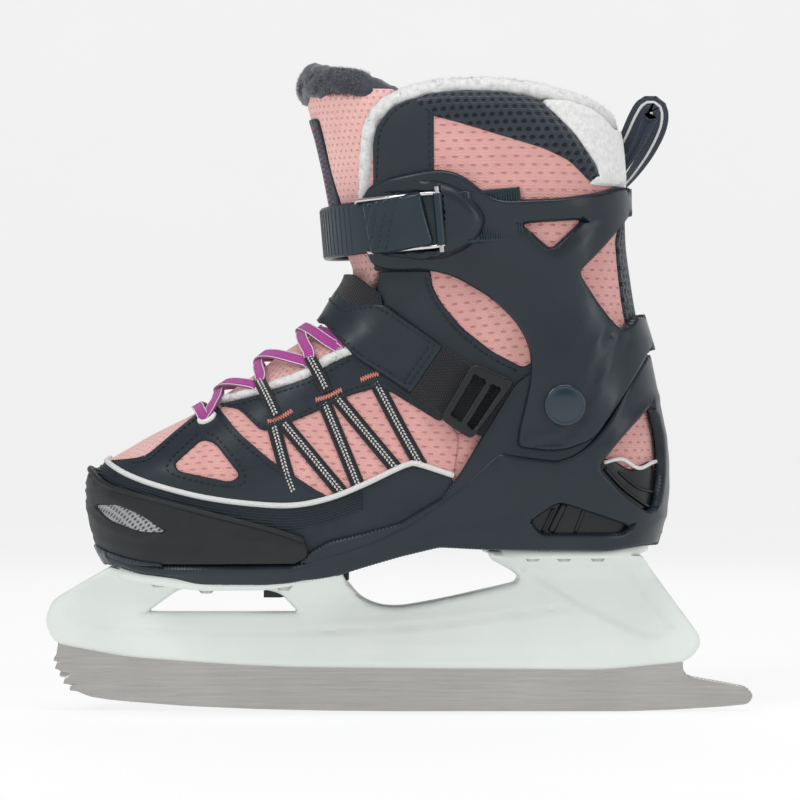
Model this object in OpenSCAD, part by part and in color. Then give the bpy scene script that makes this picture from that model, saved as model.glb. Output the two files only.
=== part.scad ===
// Adjustable ice skate: a hinged cuff on a rigid heel shell, a toe section that
// slides to change the size, and a moulded holder with a figure blade.
// Toe towards -X, +Z up, the buckle on the -Y side. The origin is on the ice,
// under the middle of the blade.

/* [Boot] */
// How far the toe section slides forward from its smallest size
toe_travel = 20; // [5:1:20]
// Thickness of the padded fabric around the foot
padding = 5; // [3:0.5:6]
// Thickness of the fabric and padding around the leg
collar_padding = 7; // [4:0.5:8]
// Wall of the moulded heel shell
shell_wall = 3.2; // [2.4:0.2:3.6]
// Wall of the moulded cuff
cuff_wall = 3.2; // [2.4:0.2:3.6]

/* [Cuff pivot] */
// Distance of the ankle rivet behind the middle of the blade
pivot_x = 67.5; // [66:0.5:69]
// Height of the ankle rivet above the ice
pivot_z = 128.5; // [127:0.5:130]
// Radius of the rivet's shank
rivet_r = 4; // [3:0.25:5]
// Radius of the rivet's cap
rivet_cap_r = 8.2; // [7:0.2:9]

/* [Blade] */
// Thickness of the steel
blade_t = 3.6; // [3:0.2:4]
// Half of the holder's width along the steel
holder_half_w = 5.2; // [4.6:0.2:6]

/* [Ladder strap and buckle] */
// Inner radius of the strap's bend around the shin
strap_r = 44.5; // [44:0.5:45]
// Thickness of the strap
strap_t = 2.5; // [2:0.1:2.6]
// Height of the strap
strap_h = 22; // [18:1:23]
// Pitch of the strap's teeth
tooth_pitch = 3.2; // [2.8:0.2:4]
// Slope of the strap, up towards the heel
strap_tilt = 5; // [3:0.5:6]

/* [Fits] */
// Radial play of a pin in its hole
pin_play = 0.05; // [0.02:0.01:0.1]
// Play between parts that move past each other
play = 0.4; // [0.3:0.1:0.5]

/* [Hidden] */
$fn = 48;
eps = 0.01;
wide = 160;                // longer than any part is wide
round_n = 2.15;            // how square the ends of a level's outline are
ring_n = [8, 6, 7];        // steps of an outline's toe end, side and heel end

// The soft boot's outline at each height: z, front, ball, half width at the ball,
// heel station, half width at the heel, rear
LEVELS = [
    [56, -112, -70, 30, 72, 24, 96], [62, -120, -72, 37, 74, 29, 101],
    [70, -125, -73, 41, 75, 32, 104], [80, -128, -73, 43, 75, 33.5, 107],
    [92, -129, -73, 43.5, 75, 34.5, 109], [100, -128, -72, 43, 74, 35, 109],
    [105, -122, -70, 42, 73, 35, 109], [110, -113.5, -66, 40, 72, 35, 108.5],
    [115, -105, -61, 38, 71, 35, 108], [120, -95, -55, 36, 70, 35, 107],
    [125, -85, -49, 34.5, 69, 35, 106], [130, -77, -43, 33, 68, 35, 105],
    [140, -62, -30, 30.5, 66, 35, 103], [150, -49, -15, 29.5, 64, 35, 101],
    [160, -34, 0, 29.5, 62, 35.5, 99], [170, -27, 10, 31, 60, 36, 97],
    [183, -20, 18, 33.5, 58, 37, 95], [195, -24, 22, 36.5, 55, 38.5, 93.5],
    [210, -28.5, 24, 39.5, 52, 40, 93], [225, -31.5, 25, 40.5, 50, 41, 92.5],
    [240, -35, 26, 41, 48, 41.5, 91], [252, -38.5, 26, 40, 48, 40.5, 86],
    [265, -41, 26, 37, 48, 37, 76]];

// Side profiles, in X and Z
sole_line = [[-128, 72], [-121, 63], [-106, 59.2], [-82, 56.8], [-56, 56.5], [-46, 57.2],
    [-26, 60], [0, 67], [16, 70.5], [35, 69.4], [57, 69], [86, 68.8], [101, 71]];
heel_line = [[104, 71], [109, 75], [113, 86], [116, 100], [116, 110], [113, 124], [111, 134],
    [110.5, 142], [110, 149]];
wing_line = [[-44, 63.6], [-40.5, 67.6], [-29, 72], [-15, 77], [0, 87], [19.5, 98.5],
    [33.5, 114], [40.5, 124], [49, 137]];
lug_line = [[53, 141], [60, 143.5], [68, 144], [75, 141], [79, 134], [80, 126], [80, 113]];
step_line = [[-8, 72.5], [9, 80.5], [26, 93.5], [37, 104], [41, 106.8], [59, 105], [71, 105.4],
    [80.5, 112.5], [88.5, 121.5], [92.5, 127.2], [99.5, 137.2], [104.5, 144.2], [107, 149.5]];
cuff_line = [[-18.7, 208], [-18, 216.7], [-13, 220], [-4.4, 222.4], [8.6, 224.7], [19, 225],
    [25.5, 223], [33, 217], [39, 214.2], [46.5, 213], [67.5, 214.2], [84, 216.3], [94, 219.2],
    [99, 214], [98, 207], [86, 194], [72, 184.5], [80, 176.8], [87.5, 166.3], [92.5, 161.5],
    [108, 165.5], [110, 156], [104.3, 150.3], [101.2, 145.1], [97.4, 139.5], [91.4, 131.9],
    [85.2, 122.2], [76, 113.4], [67.5, 110], [59, 109.6], [47.7, 111.3], [49, 120],
    [52.3, 132.7], [53.6, 145.3], [51.5, 155.8], [45.6, 166.3], [33.8, 176.8], [21.2, 182.7],
    [6.5, 184.6], [-4, 185], [-10.3, 186.6], [-15.3, 191.6], [-18.2, 200]];
cuff_window = [[51, 202], [76, 204.2], [62.5, 193]];
heel_vent = [[105.5, 128], [82.5, 103], [102.5, 85], [106.8, 87.5], [108.8, 100], [108.4, 118]];
side_vent = [[65, 88], [54, 80.5], [58, 76.5], [91, 76.5], [96, 79]];
toe_top = [[-150, 101.5], [-128, 101], [-121, 96.5], [-105, 92], [-80, 86], [-60, 80.3],
    [-40, 74.2], [-36, 72.6]];

// Buckle frame: its centre and the places along it
shin_x = 14;
shin_z = 204;
hinge_x = 16;              // lever pin, behind the frame's centre
hinge_y = strap_r + strap_t + 2.3;
tail_x = 19;               // free end of the strap
anchor_x = 4;              // medial screw
anchor_y = strap_r + strap_t / 2;
side_w = 51.2;             // outermost point on both sides

lever_h = 19.2;
wire_r = 0.8;

// Lock under the sole
lock_x = -38;
lock_z = 53.6;

screws_front = [[-100, 23.5], [-80, 27], [-48, 26]];
screws_rear = [[55, 20.8], [68, 21.5], [82, 20.8]];
screw_r = 2;
screw_head_r = 3.8;

// ---------- outlines and lofts ----------
function column(c) = [for (r = LEVELS) [r[0], r[c]]];
function level(z) = [for (c = [1 : 6]) lookup(z, column(c))];

// A point on the outline at height z, moved out by off. s runs from 0 at the toe
// to 3 at the heel, and is negative on the +Y side.
function girth(s, z, off) =
    let (l = level(z), a = abs(s), side = s < 0 ? 1 : -1, p = 2 / round_n,
        front = l[0] - off, wb = l[2] + off, wh = l[4] + off, rear = l[5] + off,
        angle = 90 * (a <= 1 ? a : a - 2), t = a - 1)
    a <= 1 ? [l[1] - (l[1] - front) * pow(cos(angle), p), side * wb * pow(sin(angle), p), z]
    : a <= 2 ? [l[1] + (l[3] - l[1]) * t, side * (wb + (wh - wb) * t * t * (3 - 2 * t)), z]
    : [l[3] + (rear - l[3]) * pow(sin(angle), p), side * wh * pow(cos(angle), p), z];

half_steps = [for (k = [0 : 2]) for (i = [0 : ring_n[k] - 1]) k + i / ring_n[k]];
ring_steps = concat(half_steps, [3], [for (i = [len(half_steps) - 1 : -1 : 1]) -half_steps[i]]);
function rows(z0, z1) = concat([z0], [for (r = LEVELS) if (r[0] > z0 + 1 && r[0] < z1 - 1) r[0]], [z1]);

// A solid of the outline between two heights, moved out by the table offs
module loft(z0, z1, offs) {
    zs = rows(z0, z1);
    n = len(ring_steps);
    m = n / 2;
    points = [for (z = zs) for (s = ring_steps) girth(s, z, lookup(z, offs))];
    sides = [for (j = [0 : len(zs) - 2]) for (i = [0 : n - 1])
        let (a = j * n + i, b = j * n + (i + 1) % n)
        for (f = [[a, a + n, b], [b, a + n, b + n]]) f];
    strip = concat([[0, 1, n - 1]],
        [for (k = [1 : m - 2]) for (f = [[k, k + 1, n - k], [k + 1, n - k - 1, n - k]]) f],
        [[m - 1, m, m + 1]]);
    top = (len(zs) - 1) * n;
    polyhedron(points, concat(sides, strip, [for (f = strip) [top + f[0], top + f[2], top + f[1]]]));
}
function same(off) = [[0, off], [300, off]];

module side_prism(outline) rotate([90, 0, 0]) linear_extrude(wide, center = true) polygon(outline);

module near_prism(outline) rotate([90, 0, 0]) linear_extrude(wide) polygon(outline);

module hollow(z0, z1, outer, inner) {
    difference() {
        loft(z0, z1, outer);
        loft(z0 - 1, z1 + 1, inner);
    }
}

// An arc of points around the ankle rivet
function about_pivot(r, a0, a1, n = 10) =
    [for (i = [0 : n]) let (a = a0 + (a1 - a0) * i / n) [pivot_x + r * cos(a), pivot_z + r * sin(a)]];

module cross_pin(x, z, r, h) translate([x, 0, z]) rotate([90, 0, 0]) cylinder(r = r, h = h, center = true);

module both_sides() {
    children();
    mirror([0, 1, 0]) children();
}

// ---------- blade and holder ----------
blade_line = concat(
    [[-144.5, 34], [-144.5, 23.5]],
    [for (i = [0 : 4]) let (x = -146 + 1.1 * i + 0.75 * i * i / 2, z = 21.4 - 3.15 * i)
        for (p = [[x, z], [x + 2.9, z - 0.4]]) p],
    [[-135, 8.6], [-128.5, 5.6], [-115.5, 4], [-90, 2.2], [-60, 0.9], [-30, 0.25], [0, 0], [95, 0],
    [115, 0.7], [135, 1.9], [145, 2.9], [148, 4.4], [148.5, 6.5], [147.4, 9], [145.5, 10.4],
    [120.8, 15], [119, 16.6], [118.7, 22], [118.7, 28], [100, 30], [-120, 34]]);

module blade() color("silver")
    rotate([90, 0, 0]) linear_extrude(blade_t, center = true) polygon(blade_line);

holder_line = [[-148.5, 39.5], [-148, 34.5], [-144.5, 28.4], [-115.5, 23], [-72, 19.7], [-43, 18.5],
    [0, 18.1], [85, 17.3], [101, 18.5], [118.7, 20.7], [123.5, 23.6], [126, 28.2], [125.3, 32.3],
    [100, 66], [37, 66], [49.5, 57.5], [48, 54.2], [37, 51.6], [16.5, 47], [-4, 44], [-8.5, 44.5],
    [-16.4, 47.8], [-22.5, 54.7], [-24.4, 58], [-46, 55], [-82, 54.5], [-106, 57], [-120.5, 60],
    [-139.3, 50.7], [-146.3, 46.3]];
holder_window = [[-106, 42], [-92, 51.2], [-58, 51.2], [-50.2, 49], [-43.2, 42]];
front_plate = concat([for (p = sole_line) if (p[0] <= -26) [p[0], p[1] - play]],
    [[-24.4, 57], [-46, 53], [-82, 51.7], [-106, 55], [-121, 60]]);
rear_plate = [[35, 69], [101, 68.4], [103, 66.5], [99, 64.8], [42, 64.8], [36, 66.4]];

module foot_plate(profile, x0, x1, w) {
    intersection() {
        side_prism(profile);
        translate([0, 0, 40]) linear_extrude(40) {
            translate([x0 + w, 0]) circle(w);
            translate([x1 - w, 0]) circle(w);
            translate([x0 + w, -w]) square([x1 - x0 - 2 * w, 2 * w]);
        }
    }
}

module screw_holes(places, r, z0, z1) both_sides() for (p = places)
    translate([p[0], -p[1], z0]) cylinder(r = r, h = z1 - z0);

module blade_holder() color("white") difference() {
    union() {
        intersection() {
            side_prism(holder_line);
            rotate([90, 0, 90]) linear_extrude(320, center = true)
                polygon([for (p = [[holder_half_w - 0.6, 17], [holder_half_w, 21], [holder_half_w + 1.2, 40],
                    [10, 50], [15, 60], [15, 70]]) p, for (p = [[-15, 70], [-15, 60], [-10, 50],
                    [-holder_half_w - 1.2, 40], [-holder_half_w, 21], [-holder_half_w + 0.6, 17]]) p]);
        }
        foot_plate(front_plate, -121, -22, 33);
        foot_plate(rear_plate, 34, 103, 27);
    }
    side_prism(holder_window);
    // slot that the steel is moulded into
    translate([0, 0, -eps]) blade_slot();
    // tunnel of the size lock, from the window to the arch
    translate([-62, -7.2, 44]) cube([46, 14.4, 30]);
    screw_holes(screws_front, screw_r + pin_play, 45, 75);
    screw_holes(screws_rear, screw_r + pin_play, 60, 80);
    spot_faces();
    cross_pin(lock_x, lock_z, 1.5 + pin_play, 24);
}

module blade_slot() rotate([90, 0, 0]) linear_extrude(blade_t + 0.02, center = true) polygon(blade_line);

module screw(p, head_z, length) translate([p[0], -p[1], head_z]) {
    difference() {
        union() {
            cylinder(r1 = screw_head_r - 1.6, r2 = screw_head_r, h = 1.9);
            cylinder(r = screw_r, h = length);
        }
        translate([0, 0, -eps]) cylinder(r = 1.5, h = 1.3, $fn = 6);
    }
}

function plate_under(x) = lookup(x, [[-121, 60], [-106, 55], [-82, 51.7], [-46, 53], [-24.4, 57]]);

// Height of each seat of a screw head
function seat(p) = p[0] > 0 ? 65.6 : plate_under(p[0]) + 0.9;

module spot_faces() both_sides() for (p = concat(screws_front, screws_rear))
    translate([p[0], -p[1], seat(p) - 14]) cylinder(r = screw_head_r + 0.3, h = 14);

module front_screws() color("silver") both_sides() for (p = screws_front)
    screw(p, seat(p) - 1.9, 9);

module rear_screws() color("silver") both_sides() for (p = screws_rear)
    screw(p, seat(p) - 1.9, 10);

module lock_pin() color("silver") cross_pin(lock_x, lock_z, 1.5, 18);

// ---------- heel shell and sole ----------
shell_outline = concat([for (i = [1 : len(sole_line) - 1]) sole_line[i]], heel_line, [for (i = [len(step_line) - 1 : -1 : 7]) [step_line[i][0] + 0.3, step_line[i][1] - 1]],
    [for (i = [len(lug_line) - 1 : -1 : 0]) lug_line[i]],
    [for (i = [len(wing_line) - 1 : -1 : 0]) wing_line[i]], [[-122.5, 63.6]]);
floor_line = [[-140, 64.1], [-34, 64.6], [-24, 66.5], [0, 72], [16, 74.5], [130, 74]];

module rear_shell() color("#2b3540") difference() {
    resize([0, 0, 0]) difference() {
        intersection() {
            loft(56, 152, same(shell_wall + 1));
            side_prism(shell_outline);
        }
        // room for the padded boot
        intersection() {
            loft(60, 156, same(0.8));
            side_prism(concat(floor_line, [[130, 170], [-140, 170]]));
        }
        // the wing is thinner above the step, where the cuff laps over it
        difference() {
            side_prism(concat(step_line, [[120, 160], [-60, 160], [-60, 72.5]]));
            loft(58, 158, same(shell_wall - 0.6));
        }
        side_prism(heel_vent);
        side_prism(side_vent);
        translate([-34, -4.5, 50]) cube([9, 9, 20]);
    }
    cross_pin(pivot_x, pivot_z, rivet_r + pin_play, wide);
    screw_holes(screws_front, screw_r + pin_play, 50, 63);
    screw_holes(screws_rear, screw_r + pin_play, 60, 74);
}

module footbed() color("#30363c") resize([0, 0, 0]) intersection() {
    loft(64, 84, same(-padding - 0.6));
    side_prism([[-20, 68.2], [0, 72.4], [16, 75], [104, 74.5], [104, 78], [16, 78.5], [0, 76], [-20, 72]]);
}

// Line between the fabric that moves with the toe and the fabric that stays
front_cut = [[10, 60], [10, 118], [-2, 131], [-13.5, 139.5]];

module heel_liner() color("#e8a3a0") resize([0, 0, 0]) difference() {
    intersection() {
        loft(66, 170, same(0));
        side_prism(concat([[10.7, 75.2]], [for (i = [1 : 3]) [front_cut[i][0] + 0.7, front_cut[i][1]]],
            about_pivot(81, 172, 172, 1), about_pivot(24, 172, 36),
            [[116, 163], [116, 74.6], [24, 75.2]]));
    }
    loft(60, 176, same(-padding));
    cross_pin(pivot_x, pivot_z, rivet_r + 1.4, wide);
}

module pivot_rivets() color("#0e2430") both_sides() translate([pivot_x, 0, pivot_z]) rotate([90, 0, 0]) {
    translate([0, 0, 33]) cylinder(r = rivet_r, h = 9.8);
    translate([0, 0, 33]) cylinder(r = rivet_r + 1, h = 1.6);
    translate([0, 0, 42.4]) cylinder(r = rivet_cap_r, h = 1.2);
    translate([0, 0, 43.6 - eps]) cylinder(r1 = rivet_cap_r, r2 = rivet_cap_r - 1.2, h = 0.9);
}

// ---------- instep strap ----------
strap_side = [[-60, 163.5], [-60, 176], [-20, 176], [-7.8, 170], [18, 152], [34, 141.8], [22.3, 122],
    [4.7, 132.6], [-17.3, 147], [-30, 157.5]];
ring_side = [[30, 145.5], [16.4, 123], [29.3, 114.4], [46, 137.8]];
ring_slot = [[33.7, 141.2], [22, 121.6], [26.6, 118.6], [39.2, 138.6]];

module band(outline, z0, z1, o0, o1) resize([0, 0, 0]) intersection() {
    hollow(z0, z1, same(o1), same(o0));
    side_prism(outline);
}

module instep_strap() color("#27303f") band(strap_side, 110, 180, 1.2, 3.4);

module strap_rings() color("#1b2026") both_sides() translate([0, -38.6, 0])
    rotate([90, 0, 0]) linear_extrude(2.8) difference() {
        polygon(ring_side);
        polygon(ring_slot);
    }

module ring_webbing() color("#1c2026") band([[34.8, 141.3], [46.5, 135.5], [38.5, 123.5],
    [32.2, 115.2], [23, 121.6]], 106, 150, 0.8, 2.4);

// ---------- toe section ----------
toe_outline = concat([[-150, 64]], toe_top, [[-36, 64]]);
vent_line = [[-112, 76.5], [-98, 75.6], [-101, 79], [-114, 82.5]];

module toe_shell() color("#33373b") resize([0, 0, 0]) difference() {
    intersection() {
        hollow(62, 104, same(2.6), same(0.4));
        side_prism(toe_outline);
        translate([-200, -80, 0]) cube([155, 160, 120]);
    }
    side_prism(vent_line);
}

module toe_vents() color("#8a8f92") band([for (p = vent_line) [p[0] * 0.98 - 2.1, p[1] * 0.95 + 3.9]],
    70, 90, 0.9, 1.9);

module toe_slider() color("#22282e") resize([0, 0, 0]) difference() {
    intersection() {
        loft(63, 70, same(-0.8));
        translate([-200, -80, 64.9]) cube([158, 160, 2.4]);
    }
    translate([-60, -4.5, 60]) cube([40, 9, 20]);
}

module vamp() color("#e8a3a0") resize([0, 0, 0]) difference() {
    intersection() {
        loft(67.8, 170, same(0));
        side_prism(concat([[-180, 67], [-44, 67], [-30, 67.6], [-20, 72.8], [0, 77], [10, 79]],
            [for (i = [1 : 3]) front_cut[i]],
            about_pivot(90, 170, 170, 1), about_pivot(150, 170, 170, 1), [[-180, 152]]));
    }
    loft(60, 172, same(-padding));
}

module rod(a, b, r) hull() {
    translate(a) sphere(r = r, $fn = 8);
    translate(b) sphere(r = r, $fn = 8);
}

// Laces: flat magenta cord criss-crossing up the front of the vamp
lace_off = 3.1;            // how far out the lace's middle is

module lace() color("#b02a76") resize([0, 0, 0]) union() {
    for (s = [-0.42 : 0.14 : 0.29])
        rod(girth(s, 122.5, lace_off), girth(min(s + 0.14, 0.42), 122.5, lace_off), 1.3);
    both_sides() for (k = [0 : 2 : 8]) {
        rod(girth(0.42, 122.5 + 3.1 * k, lace_off), girth(0.2, 124.8 + 3.1 * k, lace_off), 1.3);
        rod(girth(0.2, 124.8 + 3.1 * k, lace_off), girth(0, 126 + 3.1 * k, lace_off), 1.3);
        rod(girth(0, 126 + 3.1 * k, lace_off), girth(0.2, 127 + 3.1 * k, lace_off), 1.3);
        rod(girth(0.2, 127 + 3.1 * k, lace_off), girth(0.42, 128.7 + 3.1 * k, lace_off), 1.3);
    }
}

module front_eyelets() color("white") both_sides() {
    p = girth(0.54, 121.3, 0);
    translate([p[0], -abs(p[1]), p[2]]) rotate([0, 0, 51.5]) rotate([0, -37.5, 0]) difference() {
        translate([0, 0, 0.2]) cylinder(r = 3.4, h = 1);
        translate([0, 0, -1]) cylinder(r = 2, h = 4);
    }
}

// Straps from the sole up to the lace loops
webbing_line = [[-51.4, 118, -46.5, 101], [-42, 118, -31, 101], [-30, 125, -20, 102]];

function strip(l, w) = [[l[0] - w, l[1]], [l[0] + w, l[1]], [l[2] + w, l[3]], [l[2] - w, l[3]]];

module side_webbing() color("#1c1d20") for (l = webbing_line) band(strip(l, 2.8), 96, 128, 0.2, 1.2);

module lace_loops() color("#1c1d20") for (l = [[-56, 134.5, -50.7, 124], [-37, 141, -30, 129]])
    band(strip(l, 2.6), 118, 146, 0.2, 1.5);

// ---------- cuff ----------
cuff_in = [[90, 3], [150, 3], [172, 0.4], [300, 0.4]];
cuff_out = [for (r = cuff_in) [r[0], r[1] + cuff_wall]];

module cuff_shell() color("#2b3540") difference() {
    resize([0, 0, 0]) difference() {
        union() {
            intersection() {
                loft(104, 228, cuff_out);
                side_prism(cuff_line);
            }
            both_sides() translate([pivot_x, -30, pivot_z]) rotate([90, 0, 0]) cylinder(r = 9.4, h = 12, $fn = 40);
        }
        loft(90, 240, cuff_in);
        side_prism(cuff_window);
    }
    cross_pin(pivot_x, pivot_z, rivet_r + pin_play, wide);
    translate([anchor_x, 20, shin_z]) rotate([-90, 0, 0]) cylinder(r = 2 + pin_play, h = 40);
}

// Side line of the collar's top edge
collar_top = [[90.5, 240], [84, 250], [67.4, 254.5], [42, 258.5], [12.8, 257.5], [-2, 252], [-10.3, 243],
    [-11.6, 236]];

module collar() color("#39414c") resize([0, 0, 0]) difference() {
    intersection() {
        loft(130, 262, same(0));
        side_prism(concat(about_pivot(24.6, 41, 165), about_pivot(150, 165, 165, 1), [[-80, 184]],
            [[-11.6, 184]], [for (i = [7 : -1 : 0]) collar_top[i]], [[120, 230], [120, 174]]));
    }
    loft(120, 266, same(-collar_padding));
}

module tongue() color("#4a4f5c") resize([0, 0, 0]) difference() {
    intersection() {
        loft(180, 271, [[180, 0], [256, 0], [266, -2], [271, -6]]);
        side_prism([[-60, 184.6], [-12.1, 184.6], [-12.1, 256], [-17, 271], [-60, 271]]);
    }
    loft(170, 254, same(-collar_padding));
}

// Webbing loop at the back of the collar
module pull_loop() color("#232f45") rotate([90, 0, 0]) linear_extrude(20, center = true) difference() {
    polygon([[94.4, 221], [98.5, 226], [108, 236], [109, 246], [106.5, 254], [101, 255.4], [96, 251],
        [92.6, 236], [93.2, 228]]);
    polygon([[96.2, 227], [106, 237], [107, 246], [105, 252.4], [101.6, 253.4], [97.8, 250],
        [94.4, 236]]);
}

// ---------- buckle ----------
module at_shin() translate([shin_x, 0, shin_z]) rotate([0, -strap_tilt, 0]) children();

boss_line = [[-8, 216], [14, 219.5], [27, 215.5], [35, 205], [30, 194], [17, 188.5], [-8, 190]];

module buckle_base() color("#1d2227") difference() {
    union() {
        resize([0, 0, 0]) difference() {
            intersection() {
                near_prism(boss_line);
                at_shin() union() {
                    translate([0, 0, -20]) cylinder(r = strap_r - 0.3, h = 40, $fn = 72);
                    translate([0, -strap_r + 0.3, -20]) cube([40, 30, 40]);
                }
            }
            loft(180, 226, [for (r = cuff_out) [r[0], r[1] + 0.06]]);
        }
        at_shin() for (z = [-strap_h / 2 - 2.4, strap_h / 2 + 0.4])
            translate([-3, -hinge_y - 1.9, z]) cube([11, hinge_y - strap_r + 3.4, 2]);
    }
    at_shin() translate([hinge_x - shin_x, -hinge_y, -20]) cylinder(r = 1 + pin_play, h = 40);
}

module buckle_pin() color("silver") at_shin()
    translate([hinge_x - shin_x, -hinge_y, -strap_h / 2 - 2.4]) cylinder(r = 1, h = strap_h + 4.8);

module ladder_strap() color("#20262b") difference() {
    at_shin() union() {
        rotate([0, 0, 90]) rotate_extrude(angle = 180) translate([strap_r, -strap_h / 2]) square([strap_t, strap_h]);
        translate([0, -strap_r - strap_t, -strap_h / 2]) cube([36, strap_t, strap_h]);
        translate([0, strap_r, -strap_h / 2]) cube([6, strap_t, strap_h]);
        for (i = [0 : 6]) translate([12 + i * tooth_pitch, -strap_r - strap_t - 0.7, -strap_h / 2 + 3])
            cube([1.6, 1, strap_h - 6]);
    }
    translate([anchor_x, 30, shin_z]) rotate([-90, 0, 0]) cylinder(r = 2 + pin_play, h = 40);
}

module strap_screw() color("silver") translate([anchor_x, 0, shin_z]) rotate([-90, 0, 0]) {
    translate([0, 0, 37]) cylinder(r = 2, h = 11);
    translate([0, 0, 47.1]) cylinder(r = 7, h = 3);
    translate([0, 0, 50.1 - eps]) cylinder(r1 = 7, r2 = 5, h = side_w - 50.1 + eps);
}

module at_hinge() at_shin() translate([hinge_x - shin_x, -hinge_y, 0]) children();

module buckle_lever() color("#1d2227") difference() {
    union() {
        at_hinge() translate([0, 0, -strap_h / 2 - 0.1]) cylinder(r = 1.9, h = strap_h + 0.2);
        at_shin() intersection() {
            difference() {
                translate([0, 0, -lever_h / 2]) cylinder(r = strap_r + strap_t + 2.4, h = lever_h);
                translate([0, 0, -lever_h]) cylinder(r = strap_r + strap_t + 0.4, h = 2 * lever_h);
            }
            translate([-29, -60, -20]) cube([31, 40, 40]);
        }
        for (i = [0 : 3]) at_shin() rotate([0, 0, 236 + 3 * i])
            translate([strap_r + strap_t + 2.2, -0.6, -lever_h / 2 + 2]) cube([0.8, 1.2, lever_h - 4]);
    }
    at_hinge() translate([0, 0, -20]) cylinder(r = 1 + pin_play, h = 40);
}

// Sprung wires along the lever's two edges
module buckle_wires() color("silver") at_shin() for (z = [-1, 1]) translate([0, 0, z * (lever_h / 2 + wire_r)]) {
    rotate([0, 0, 233]) rotate_extrude(angle = 37) translate([strap_r + strap_t + 1.4, 0]) circle(wire_r);
}

// ---------- size lock under the sole ----------
module lock_lever() color("#4a5058") difference() {
    translate([0, 7, 0]) rotate([90, 0, 0]) linear_extrude(14) polygon([[-57, 48], [-50, 48], [-34, 50.8],
        [-21.4, 55.4], [-21.4, 58.4], [-24.8, 58.6], [-34, 56.4], [-42, 56], [-57, 51.2]]);
    cross_pin(lock_x, lock_z, 1.5 + pin_play, 40);
}

blade();
blade_holder();
front_screws();
rear_screws();
rear_shell();
footbed();
heel_liner();
pivot_rivets();
instep_strap();
strap_rings();
ring_webbing();
lock_pin();
toe_shell();
toe_vents();
toe_slider();
vamp();
lace();
front_eyelets();
lace_loops();
side_webbing();
cuff_shell();
collar();
tongue();
pull_loop();
buckle_base();
buckle_wires();
buckle_pin();
ladder_strap();
strap_screw();
buckle_lever();
lock_lever();
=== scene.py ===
"""Looks of the ice skate. Lengths are in millimetres until a mesh is made; toe towards -X."""
import math
import random

import bmesh
import bpy
import numpy as np
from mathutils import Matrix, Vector, kdtree, noise
from mathutils.geometry import delaunay_2d_cdt


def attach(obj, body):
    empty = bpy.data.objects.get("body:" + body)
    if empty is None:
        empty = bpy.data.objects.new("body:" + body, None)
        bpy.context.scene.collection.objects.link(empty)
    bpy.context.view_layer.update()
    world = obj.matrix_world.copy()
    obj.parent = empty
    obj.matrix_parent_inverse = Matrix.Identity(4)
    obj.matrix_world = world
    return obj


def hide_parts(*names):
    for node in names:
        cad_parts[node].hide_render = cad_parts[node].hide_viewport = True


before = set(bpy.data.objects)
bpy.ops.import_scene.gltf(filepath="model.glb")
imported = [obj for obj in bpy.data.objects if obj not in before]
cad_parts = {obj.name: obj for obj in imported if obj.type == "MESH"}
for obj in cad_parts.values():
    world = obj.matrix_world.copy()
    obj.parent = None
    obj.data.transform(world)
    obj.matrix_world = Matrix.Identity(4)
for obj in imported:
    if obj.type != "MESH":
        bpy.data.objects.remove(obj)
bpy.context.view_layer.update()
random.seed(7)
MM = 0.001

# ---------------------------------------------------------------- boot surface
# The boot's outline at each height: z, front, ball, half width there, heel, half width there, rear
LEVELS = [
    (56, -112, -70, 30, 72, 24, 96), (62, -120, -72, 37, 74, 29, 101), (70, -125, -73, 41, 75, 32, 104),
    (80, -128, -73, 43, 75, 33.5, 107), (92, -129, -73, 43.5, 75, 34.5, 109), (100, -128, -72, 43, 74, 35, 109),
    (105, -122, -70, 42, 73, 35, 109), (110, -113.5, -66, 40, 72, 35, 108.5), (115, -105, -61, 38, 71, 35, 108),
    (120, -95, -55, 36, 70, 35, 107), (125, -85, -49, 34.5, 69, 35, 106), (130, -77, -43, 33, 68, 35, 105),
    (140, -62, -30, 30.5, 66, 35, 103), (150, -49, -15, 29.5, 64, 35, 101), (160, -34, 0, 29.5, 62, 35.5, 99),
    (170, -27, 10, 31, 60, 36, 97), (183, -20, 18, 33.5, 58, 37, 95), (195, -24, 22, 36.5, 55, 38.5, 93.5),
    (210, -28.5, 24, 39.5, 52, 40, 93), (225, -31.5, 25, 40.5, 50, 41, 92.5), (240, -35, 26, 41, 48, 41.5, 91),
    (252, -38.5, 26, 40, 48, 40.5, 88), (265, -41, 26, 37, 48, 37, 80), (275, -42, 26, 34, 48, 34, 74)]
SQUARENESS = 2.15


def hermite(keys, z):
    """Smooth interpolation of a table's columns at z."""
    n = len(keys)
    if z <= keys[0][0]:
        return keys[0][1:]
    if z >= keys[-1][0]:
        return keys[-1][1:]
    i = max(k for k in range(n - 1) if keys[k][0] <= z)
    a, b = keys[i], keys[i + 1]
    p = keys[max(i - 1, 0)]
    q = keys[min(i + 2, n - 1)]
    h = b[0] - a[0]
    t = (z - a[0]) / h
    out = []
    for c in range(1, len(a)):
        m0 = (b[c] - p[c]) / (b[0] - p[0]) * h
        m1 = (q[c] - a[c]) / (q[0] - a[0]) * h
        t2, t3 = t * t, t * t * t
        out.append((2 * t3 - 3 * t2 + 1) * a[c] + (t3 - 2 * t2 + t) * m0 + (3 * t2 - 2 * t3) * b[c] + (t3 - t2) * m1)
    return tuple(out)


_levels = {}


def level(z):
    k = round(z, 2)
    if k not in _levels:
        _levels[k] = hermite(LEVELS, k)
    return _levels[k]


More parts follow.
